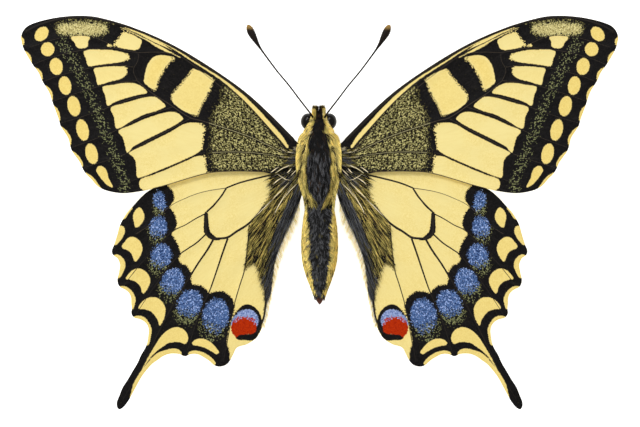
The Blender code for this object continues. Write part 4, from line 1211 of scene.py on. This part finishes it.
def thorax_hair(rng, form):
    """Gold bands beside a black back, and dark hair under the body."""
    def tone_of(rng, roots):
        x = np.abs(form.skin(roots)[0][:, 0])
        y = roots[:, 1] - COMBED_BACK
        band = np.array(GOLD_BAND)
        inner = np.interp(y, band[:, 0], band[:, 1])
        parting = np.array(DARK_PARTING)
        parted = np.abs(x - np.interp(y, parting[:, 0], parting[:, 1])) < 0.1
        parted &= (y > -2.6) & (y < 1.7)
        notch = ((x - 1.8) / 0.4) ** 2 + ((y - 3.3) / 0.12) ** 2 < 1
        outer = np.interp(y, band[:, 0], band[:, 2])
        below = np.abs(roots[:, 0]) > 1.75 * ROUND_SCALE
        rear = y < -1.5 - rng.uniform(-1, 1, len(roots))
        return where_tone(rng, [
            (below, {BLACK: 3, BROWN: 3, MOSS: 3, OLIVE: 1}),
            ((y < -4.6) & (x > outer), {BLACK: 3, BROWN: 3, MOSS: 2}),
            ((x < inner - 0.08) & (y > 0.6), {BLACK: 14, SLATE: 0.6, BROWN: 0.8}),
            (x < inner - 0.08, {BLACK: 8, SLATE: 4.5, BROWN: 0.6}),
            (x < inner + 0.05, {BLACK: 3, MOSS: 2, OLIVE: 2}),
            (parted | notch, {BLACK: 4, BROWN: 2}),
            (y < -5.2, {OLIVE: 4, GOLD: 2, MOSS: 3, BLACK: 5}),
            (rear, {BRIGHT: 4, GOLD: 4.5, OLIVE: 3.5, MOSS: 1.6, BROWN: 1.2}),
        ], {BRIGHT: 6.5, GOLD: 5, OLIVE: 1, MOSS: 0.8, BROWN: 1.6})

    sides = 1.75 * ROUND_SCALE
    bands = scatter(rng, 11200, (-sides, -5.6), (sides, 4.0),
                    lambda spots: np.abs(spots[:, 0]) > 0.9)
    back = scatter(rng, 5200, (-1.75, -5.9), (1.75, 3.9), lambda spots: np.abs(spots[:, 0]) < 1.75)
    below = scatter(rng, 2300, (-math.pi * ROUND_SCALE, -5.6), (math.pi * ROUND_SCALE, 3.8),
                    lambda spots: np.abs(spots[:, 0]) > sides)
    gold = coat(rng, form.skin, thorax_flow, bands, tone_of, (0.8, 1.9), (0.15, 0.6), (0.02, 0.034), 900, 0.7)
    dark = coat(rng, form.skin, thorax_flow, back, tone_of, (0.6, 1.2), (0.1, 0.35), (0.018, 0.028), 600, 0.6)
    under = coat(rng, form.skin, thorax_flow, below, tone_of, (0.6, 1.1), (0.1, 0.3), (0.018, 0.028), 160)
    return (over_wings(gold[0]), *gold[1:]), dark, under


def abdomen_stripe(x, y):
    """Distance inside the black stripe and specks on the abdomen's back, seen from above."""
    stripe = np.array(BACK_STRIPE)
    inside = np.interp(y, stripe[:, 0], stripe[:, 1]) - x
    for speck_x, speck_y in SIDE_SPECKS:
        inside = np.maximum(inside, 0.13 - np.hypot(x - speck_x, (y - speck_y) * 0.8))
    return inside


def abdomen_marks(form, roots_or_places, y):
    """Distance inside any black mark: the back's stripe, a line low on each side and two under the belly."""
    places = roots_or_places
    half, middle, tall = form.section(y)
    turn = np.arctan2(np.abs(places[:, 0]) / half, (places[:, 2] - middle) / tall)
    side = 0.16 - np.abs(turn - 1.95) * half * ease(-18.5, -16.0, y)
    belly = 0.14 - np.abs(turn - 2.75) * half
    top = np.where(turn < 1.5, abdomen_stripe(np.abs(places[:, 0]), y), -FAR)
    return np.max([top, side, belly], axis=0)


def abdomen_hair(rng, form):
    def tone_of(rng, roots):
        places = form.skin(roots)[0]
        marks = abdomen_marks(form, places, roots[:, 1]) + rng.normal(-0.03, 0.09, len(roots))
        tip = roots[:, 1] < -18.35
        rim = np.abs(roots[:, 0]) > 1.25 * ROUND_SCALE
        return where_tone(rng, [
            (tip, {BROWN: 1}),
            (marks > 0, {BLACK: 8, SLATE: 5.5, MOSS: 0.2}),
            (rim, {OLIVE: 3, GOLD: 5, BRIGHT: 1.5, BROWN: 1}),
        ], {BRIGHT: 6, GOLD: 5, OLIVE: 1.5, BROWN: 0.4})

    def flow(spots):
        away = np.abs(spots[:, 0])
        out = 0.06 * away + 0.6 * ease(0.6, 1.4, away) * ease(2.6, 1.7, away)
        return unit(np.column_stack([np.sign(spots[:, 0]) * out, np.full(len(spots), -1.0)]))

    sides = math.pi * ROUND_SCALE
    roots = scatter(rng, 13500, (-sides, -18.5), (sides, -5.5),
                    lambda spots: rng.random(len(spots)) < form.section(spots[:, 1])[0] / 2.4)
    return coat(rng, form.skin, flow, roots, tone_of, (0.3, 0.7), (0.05, 0.14), (0.018, 0.03), 2400, 0.5, 2)


def head_hair(rng, form):
    """Gold stripes beside the eyes with a black crown between them, sweeping out into the collar."""
    def tone_of(rng, roots):
        x = np.abs(form.skin(roots)[0][:, 0])
        crown = np.interp(roots[:, 1], [3.6, 4.2, 5.0, 5.6, 6.2], [0.66, 0.56, 0.46, 0.38, 0.32])
        return where_tone(rng, [
            (x < crown - 0.06, {BLACK: 9, BROWN: 1}),
            (x < crown + 0.06, {BLACK: 1, OLIVE: 1, BROWN: 1}),
        ], {BRIGHT: 6, GOLD: 4, CREAM: 1.5, OLIVE: 0.6, MOSS: 0.4})

    def flow(spots):
        side = np.sign(spots[:, 0]) * ease(0.55, 1.3, np.abs(spots[:, 0]))
        front = ease(5.0, 5.6, spots[:, 1])
        return unit(np.column_stack([side * (0.95 - 0.85 * front), -1.0 + 2.0 * front]))

    roots = scatter(rng, 5200, (-3.6, 3.4), (3.6, 6.2), lambda spots: np.abs(spots[:, 0]) > 0)
    coat_parts = coat(rng, form.skin, flow, roots, tone_of, (0.45, 1.05), (0.08, 0.45), (0.02, 0.032), 300, 0.65)
    lines = coat_parts[0]
    limit = np.interp(lines[..., 1], *np.array(EYE_EDGE).T)
    past = np.maximum(np.abs(lines[..., 0]) - limit, 0) * (lines[..., 2] > 2.6)
    lines[..., 0] -= np.sign(lines[..., 0]) * past * 0.9
    return (over_wings(lines), *coat_parts[1:])


def palp_hair(rng):
    """A brush of hair round each palp, gold outside and dark between the two."""
    line = curve_through(PALP)
    count = 3400
    t = rng.random(count) * (len(line) - 1)
    root = np.column_stack([np.interp(t, np.arange(len(line)), line[:, i]) for i in range(3)])
    side = rng.choice([-1.0, 1.0], count)
    aim = unit(np.column_stack([rng.uniform(-1.3, 0.9, count), rng.uniform(-0.1, 0.8, count),
                                rng.uniform(0.0, 0.9, count)]))
    length = rng.uniform(0.25, 0.66, count)
    steps = np.linspace(0, 1, 4)[:, None, None]
    lines = root + aim * length[:, None] * steps + np.array([0, 0.1, 0.05]) * steps ** 2
    lines[:, :, 0] *= side
    tips = lines[-1, :, 0] * side
    tones = where_tone(rng, [
        (tips < 0.3, {BLACK: 5, BROWN: 5, MOSS: 0.6}),
        (lines[-1, :, 1] > 7.0, {BROWN: 4, OLIVE: 2, BLACK: 2, GOLD: 1}),
        (tips < 0.42, {BLACK: 1, OLIVE: 1, BROWN: 1}),
    ], {GOLD: 5, BRIGHT: 4, OLIVE: 1.4, BROWN: 1})
    return lines.transpose(1, 0, 2), rng.uniform(0.014, 0.024, count), tones, rng.random(count)


def wing_skin(level, veins):
    """The upper skin of a wing, for hair that grows on it."""
    def skin(spots):
        z = level + wing_height(spots[:, 0], spots[:, 1]) + MEMBRANE / 2 + VEIN_SWELL * 0.5
        return np.column_stack([spots, z]), np.tile([0.0, 0.0, 1.0], (len(spots), 1))
    return skin


def fan_flow(spots):
    return unit(spots - HAIR_FAN)


def hindwing_hair(rng):
    """Long hair over the inner part of a hindwing: olive streaks on black, slate along the inner margin."""
    def tone_of(rng, roots):
        run = roots - HAIR_FAN
        away = np.hypot(run[:, 0], run[:, 1])
        angle = np.arctan2(run[:, 0], -run[:, 1])
        band = np.array(SLATE_BAND)
        slate = angle < np.interp(away, band[:, 0], band[:, 1]) + rng.normal(0, 0.01, len(roots))
        base = (away < 4.3) & (angle > 0.5)
        return where_tone(rng, [
            (slate, {BLACK: 7, SLATE: 5, MOSS: 0.3}),
            (base, {BLACK: 7, SLATE: 2, MOSS: 2, OLIVE: 0.8, CREAM: 0.5}),
        ], {BLACK: 8.5, MOSS: 1.5, OLIVE: 2.6, BROWN: 1, GOLD: 2.2})

    def keep(spots):
        ahead = spots + fan_flow(spots) * 1.5
        return (loop_distance(ahead, HAIRY_FIELD) > 0) & (loop_distance(spots, HAIRY_FIELD) > 0.05)

    roots = scatter(rng, 8000, (2.0, -17.5), (9.8, -0.8), keep)
    skin = wing_skin(HINDWING_LEVEL, HINDWING_VEINS)
    return coat(rng, skin, fan_flow, roots, tone_of, (1.4, 2.8), (0.06, 0.34), (0.018, 0.03), 1700, 0.75)


def inner_fringe(rng):
    """Soft pale hair that hangs off the hindwing's inner margin."""
    line = curve_through(FRINGE_ROOTS, step=0.05)
    count = 2900
    part = rng.random(count)
    spots = line[(part * (len(line) - 1)).astype(int)] + rng.uniform(-0.05, 0.15, (count, 2))
    short = ease(0.0, 0.12, part) * (0.45 + 0.55 * ease(1.0, 0.6, part))

    def flow(spots):
        return np.tile([[-0.36, -0.93]], (len(spots), 1))

    def tone_of(rng, roots):
        return chosen(rng, len(roots), {PALE: 3, CREAM: 6, OLIVE: 2.2})

    skin = wing_skin(HINDWING_LEVEL, HINDWING_VEINS)
    lines, halves, tones, shades = coat(
        rng, skin, flow, spots, tone_of, (0.5, 1.8), (-0.3, 0.05), (0.015, 0.024), 500, 0.3)
    lines = lines[:, :1] + (lines - lines[:, :1]) * short[:, None, None]
    return lines, halves, tones, 0.55 + 0.45 * shades


def root_hair(rng):
    """Dark fuzz where the forewing leaves the body, with a few pale hairs."""
    def tone_of(rng, roots):
        return chosen(rng, len(roots), {BLACK: 9, SLATE: 3, MOSS: 3, OLIVE: 1, CREAM: 0.5})

    def flow(spots):
        return unit(np.column_stack([np.ones(len(spots)), (spots[:, 1] - 0.4) * 0.35]))

    roots = scatter(rng, 900, (2.5, -0.7), (4.2, 1.6), lambda spots: spots[:, 1] < 2.4 - 0.3 * spots[:, 0])
    skin = wing_skin(FOREWING_LEVEL, FOREWING_VEINS)
    return coat(rng, skin, flow, roots, tone_of, (0.6, 1.3), (0.04, 0.2), (0.014, 0.022), 80, 0.5)


def pale_hairs(rng):
    """The long pale hairs that curve over the wings' roots, a few side by side in each."""
    routes = np.repeat(np.array(PALE_HAIRS), 4, axis=0)
    routes = routes + rng.normal(0, 0.03, (len(routes), 1, 2))
    x, y = routes[..., 0], routes[..., 1]
    level = np.where(y > -1.9, FOREWING_LEVEL, HINDWING_LEVEL + 0.3)
    lines = np.dstack([routes, level + wing_height(x, y) + 0.2])
    count = len(lines)
    return lines, np.full(count, 0.028), np.full(count, CREAM), rng.uniform(0.5, 0.9, count)


def hair_colours():
    s = Shading("body_hair", roughness=0.6, specular=0.12)
    steps = s.node("ShaderNodeValToRGB", {0: s.stored("tone")})
    band = steps.color_ramp
    while len(band.elements) < len(HAIR_COLOURS):
        band.elements.new(0.5)
    for i, colour in enumerate(HAIR_COLOURS):
        band.elements[i].position = i / (len(HAIR_COLOURS) - 1)
        band.elements[i].color = (*screen(*colour), 1.0)
    dim = s.maths("ADD", s.maths("MULTIPLY", s.stored("shade"), 0.9), 0.55)
    # The roots are drawn darker than the tips: painted shade where each hair lies under the ones above it.
    dim = s.maths("MULTIPLY", dim, s.ramp(s.stored("reach"), 0.0, 0.5, 0.4, 1.0))
    grey = s.node("ShaderNodeCombineColor", {0: dim, 1: dim, 2: dim}).outputs[0]
    return s.finish(s.mix(1.0, steps.outputs[0], grey, blend="MULTIPLY"))


def dark_skin():
    """The body under the hair: brown-black, with moss where the gold hair grows."""
    s = Shading("dark_skin", roughness=0.6, specular=0.1)
    places, parts = s.places()
    grain = s.noise(places, 0.12)
    colour = s.mix(grain, screen(16, 14, 14), screen(44, 38, 34))
    colour = s.mix(s.maths("MULTIPLY", s.stored("gold"), 0.8), colour, screen(120, 98, 48))
    s.bump(grain, 0.00004, 0.6)
    return s.finish(colour)


def abdomen_skin():
    """Yellow with black marks whose edges break up into single scales; the tip is red-brown."""
    s = Shading("abdomen_scales", roughness=0.6, specular=0.08)
    places, (x, y, z) = s.places()
    random, edge = s.cells(places, 0.11, flat=False)
    cloud = s.noise(places, 0.7, detail=3.0)
    yellow = s.mix(random[0], screen(206, 182, 98), screen(238, 216, 136))
    yellow = s.mix(s.ramp(cloud, 0.45, 0.75), yellow, screen(190, 160, 84))
    black = s.mix(random[1], screen(20, 19, 20), screen(64, 64, 64))
    marks = s.maths("ADD", s.stored("marks"), s.maths("MULTIPLY", s.maths("SUBTRACT", random[2], 0.5), 0.3))
    colour = s.mix(s.ramp(marks, -0.03, 0.03), yellow, black)
    colour = s.mix(s.ramp(y, -18.2, -18.6), colour, s.mix(random[0], screen(52, 26, 20), screen(104, 60, 44)))
    s.bump(s.maths("ADD", edge, cloud), 0.00005, 0.7)
    return s.finish(colour)


def dark_horn(name, roughness, tip_brown=False):
    """Hard brown-black skin of the legs, the tongue and the antennae, whose club ends brown."""
    s = Shading(name, roughness=roughness, specular=0.08)
    places, (x, y, z) = s.places()
    grain = s.noise(places, 0.15)
    colour = s.mix(grain, screen(10, 8, 7), screen(36, 27, 21))
    if tip_brown:
        tip = s.ramp(s.maths("ADD", y, s.maths("MULTIPLY", grain, 0.5)), 17.5, 18.1)
        colour = s.mix(tip, colour, screen(150, 118, 62))
    s.bump(grain, 0.00003, 0.5)
    return s.finish(colour)


def eye_shine():
    """Glossy brown-black with thousands of tiny facets."""
    s = Shading("compound_eye", roughness=0.2, specular=0.12)
    places, parts = s.places()
    random, edge = s.cells(places, 0.05, flat=False)
    mottle = s.noise(places, 0.5)
    colour = s.mix(mottle, screen(5, 4, 4), screen(20, 15, 12))
    s.bump(s.maths("MULTIPLY", edge, -1.0), 0.000006, 0.5)
    return s.finish(colour)


def pair(right, node, shift=False):
    """Places a right-hand piece and its mirrored left-hand one."""
    left = mirrored(right, right.name.replace("right", "left"))
    for ob, side in ((right, "right"), (left, "left")):
        if shift:
            places = places_of(ob.data)
            places[:, 0] += body_offset(places[:, 1] / MM) * MM
            set_places(ob.data, places)
        place(ob, node + "_" + side)


def leg(name, root_y, material):
    """One right leg: thigh, shin and foot as a ringed tube, with spines and two claws."""
    points = [(x, root_y + y, z, half) for x, y, z, half in LEG]
    line = curve_through(points, step=0.05)
    foot = line[:, 1] < root_y + TARSUS_START[1]
    along = np.cumsum(np.append(0, np.linalg.norm(np.diff(line[:, :3], axis=0), axis=1)))
    line[foot, 3] *= 1 + 0.18 * np.cos(2 * np.pi * along[foot] / 0.55)
    limb = tube(name, line[::2])
    rng = np.random.default_rng(7)
    spine_at = rng.integers(len(line) // 2, len(line) - 4, 70)
    aim = unit(rng.normal(0, 1, (70, 3)) + (0.5, -0.8, -0.2))
    roots = line[spine_at, :3]
    lengths = rng.uniform(0.16, 0.3, 70)
    tip = line[-1, :3]
    claws = np.array([[tip, tip + (0.14, -0.1, 0.04), tip + (0.2, -0.2, -0.05)],
                      [tip, tip + (0.06, -0.16, 0.04), tip + (0.04, -0.27, -0.05)]])
    spines = np.stack([roots, roots + aim * lengths[:, None] * 0.5, roots + aim * lengths[:, None]], axis=1)
    spines = np.concatenate([spines, claws])
    halves = np.append(np.full(70, 0.022), [0.035, 0.035])
    thorns = strand_mesh(name + "_spines", spines, halves, np.zeros(72), np.full(72, 0.5))
    whole = join([limb, thorns])
    floor = places_of(whole.data)
    floor[:, 2] = np.maximum(floor[:, 2], 0.01)
    set_places(whole.data, floor)
    while whole.data.uv_layers:
        whole.data.uv_layers.remove(whole.data.uv_layers[0])
    return as_piece(whole, material)


def body():
    hair = hair_colours()
    horn = dark_horn("dark_horn", 0.4)
    rng = np.random.default_rng(11)

    thorax_form = Form(THORAX_SKIN)
    thorax = thorax_form.solid("thorax_skin")
    places = places_of(thorax.data)
    band = np.array(GOLD_BAND)
    inner = np.interp(places[:, 1], band[:, 0], band[:, 1])
    low = places[:, 2] < thorax_form.section(places[:, 1])[1] - 0.8
    add_values(thorax.data, "gold", ease(-0.1, 0.2, np.abs(places[:, 0]) - inner) * ~low)
    shift_body(thorax.data)
    place(as_piece(thorax, dark_skin()), "thorax")
    gold, back, under = thorax_hair(rng, thorax_form)
    hair_piece("thorax_gold_hair", [gold], hair, shift=True)
    hair_piece("thorax_dark_hair", [back, under], hair, shift=True)

    abdomen_form = Form(ABDOMEN_SKIN)
    abdomen = abdomen_form.solid("abdomen_rings", rings=220, around=96)
    places = places_of(abdomen.data)
    add_values(abdomen.data, "marks", abdomen_marks(abdomen_form, places, places[:, 1]))
    half, middle, tall = abdomen_form.section(places[:, 1])
    draw = 1 - joint_pinch(places[:, 1])
    places[:, 0] *= draw
    places[:, 2] = middle + (places[:, 2] - middle) * draw
    set_places(abdomen.data, places)
    shift_body(abdomen.data)
    place(as_piece(abdomen, abdomen_skin()), "abdomen")
    hair_piece("abdomen_short_hair", [abdomen_hair(rng, abdomen_form)], hair, shift=True)

    head_form = Form(HEAD_SKIN)
    head = head_form.solid("head_skin")
    add_values(head.data, "gold", np.zeros(len(head.data.vertices)))
    shift_body(head.data)
    place(as_piece(head, bpy.data.materials["dark_skin"]), "head")
    hair_piece("head_hair", [head_hair(rng, head_form), palp_hair(rng)], hair, shift=True)
    palp = tube("palp_right_core", PALP)
    add_values(palp.data, "gold", np.full(len(palp.data.vertices), 0.5))
    pair(as_piece(palp, bpy.data.materials["dark_skin"]), "palp", shift=True)

    deselect()
    bpy.ops.mesh.primitive_uv_sphere_add(segments=96, ring_count=64, radius=1.0)
    eye = bpy.context.object
    eye.name = "eye_right_facets"
    eye.scale = EYE_SIZE
    eye.location = EYE_CENTRE
    bpy.ops.object.transform_apply(location=True, rotation=True, scale=True)
    pair(as_piece(eye, eye_shine()), "eye", shift=True)

    antenna = tube("antenna_right_ringed", ANTENNA, sides=3, step=0.045, rings=ANTENNA_RING)
    pair(as_piece(antenna, dark_horn("antenna_horn", 0.5, tip_brown=True)), "antenna", shift=True)

    turns = np.linspace(0, 2 * math.pi * TONGUE_TURNS, 160)
    out = TONGUE_START + TONGUE_PITCH * turns / (2 * math.pi)
    coil = np.column_stack([np.full(160, TONGUE_CENTRE[0]), TONGUE_CENTRE[1] + out * np.cos(turns),
                            TONGUE_CENTRE[2] + out * np.sin(turns), np.full(160, TONGUE_HALF)])
    tongue = tube("proboscis_coil", coil, step=0.05, rings=0.12, swell=0.04)
    shift_body(tongue.data)
    place(as_piece(tongue, horn), "proboscis")

    for name, root_y in LEGS.items():
        pair(leg("leg_" + name + "_right_spined", root_y, horn), "leg_" + name)

    for name, coats in (("hindwing_hair", [hindwing_hair(rng)]),
                        ("wing_fringe_hair", [inner_fringe(rng), root_hair(rng), pale_hairs(rng)])):
        right = hair_piece(name + "_right", coats, hair)
        left = mirrored(right, name + "_left")
        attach(left, "root")



# Table, light and camera
VIEW_WIDTH = 85.6               # what the picture shows across, at the wings' height
VIEW_CENTRE = (0.05, -7.16)
WING_HEIGHT = 5.3
LENS = 500.0
SENSOR = 36.0


def studio():
    bpy.ops.mesh.primitive_plane_add(size=4.0, location=(0, 0, 0))
    table = bpy.context.object
    table.name = "table"
    paper = Shading("white_table", roughness=0.8, specular=0.1)
    places, parts = paper.places()
    paper.feed(paper.shader.inputs["Emission Color"], (1.0, 1.0, 1.0))
    paper.shader.inputs["Emission Strength"].default_value = 0.8
    table.data.materials.append(paper.finish(paper.mix(
        paper.noise(places, 40.0), (0.86, 0.86, 0.86), (0.88, 0.88, 0.88))))

    world = bpy.data.worlds.new("studio")
    world.use_nodes = True
    world.node_tree.nodes["Background"].inputs["Color"].default_value = (1.0, 1.0, 1.0, 1.0)
    world.node_tree.nodes["Background"].inputs["Strength"].default_value = 0.72
    bpy.context.scene.world = world
    bpy.context.scene.view_settings.view_transform = "Standard"

    bpy.ops.object.light_add(type="AREA", location=(-0.25, 0.3, 0.5))
    key = bpy.context.object
    key.name = "soft_key"
    key.data.shape = "DISK"
    key.data.size = 0.2
    key.data.energy = 1.6
    key.rotation_euler = (math.radians(-31), math.radians(-27), 0)

    bpy.ops.object.light_add(type="AREA", location=(-0.07, 0.5, 0.4))
    gleam = bpy.context.object
    gleam.name = "front_gleam"
    gleam.data.shape = "DISK"
    gleam.data.size = 0.16
    gleam.data.energy = 2.5
    gleam.visible_diffuse = False
    gleam.rotation_euler = (math.radians(-51), math.radians(-6), 0)

    camera = bpy.data.objects.new("camera", bpy.data.cameras.new("camera"))
    bpy.context.scene.collection.objects.link(camera)
    camera.data.sensor_width = SENSOR
    camera.data.lens = LENS
    away = VIEW_WIDTH * LENS / SENSOR
    camera.location = (VIEW_CENTRE[0] * MM, VIEW_CENTRE[1] * MM, (WING_HEIGHT + away) * MM)
    camera.data.clip_start = 0.01
    camera.data.clip_end = 10.0
    bpy.context.scene.camera = camera


wings()
body()
studio()
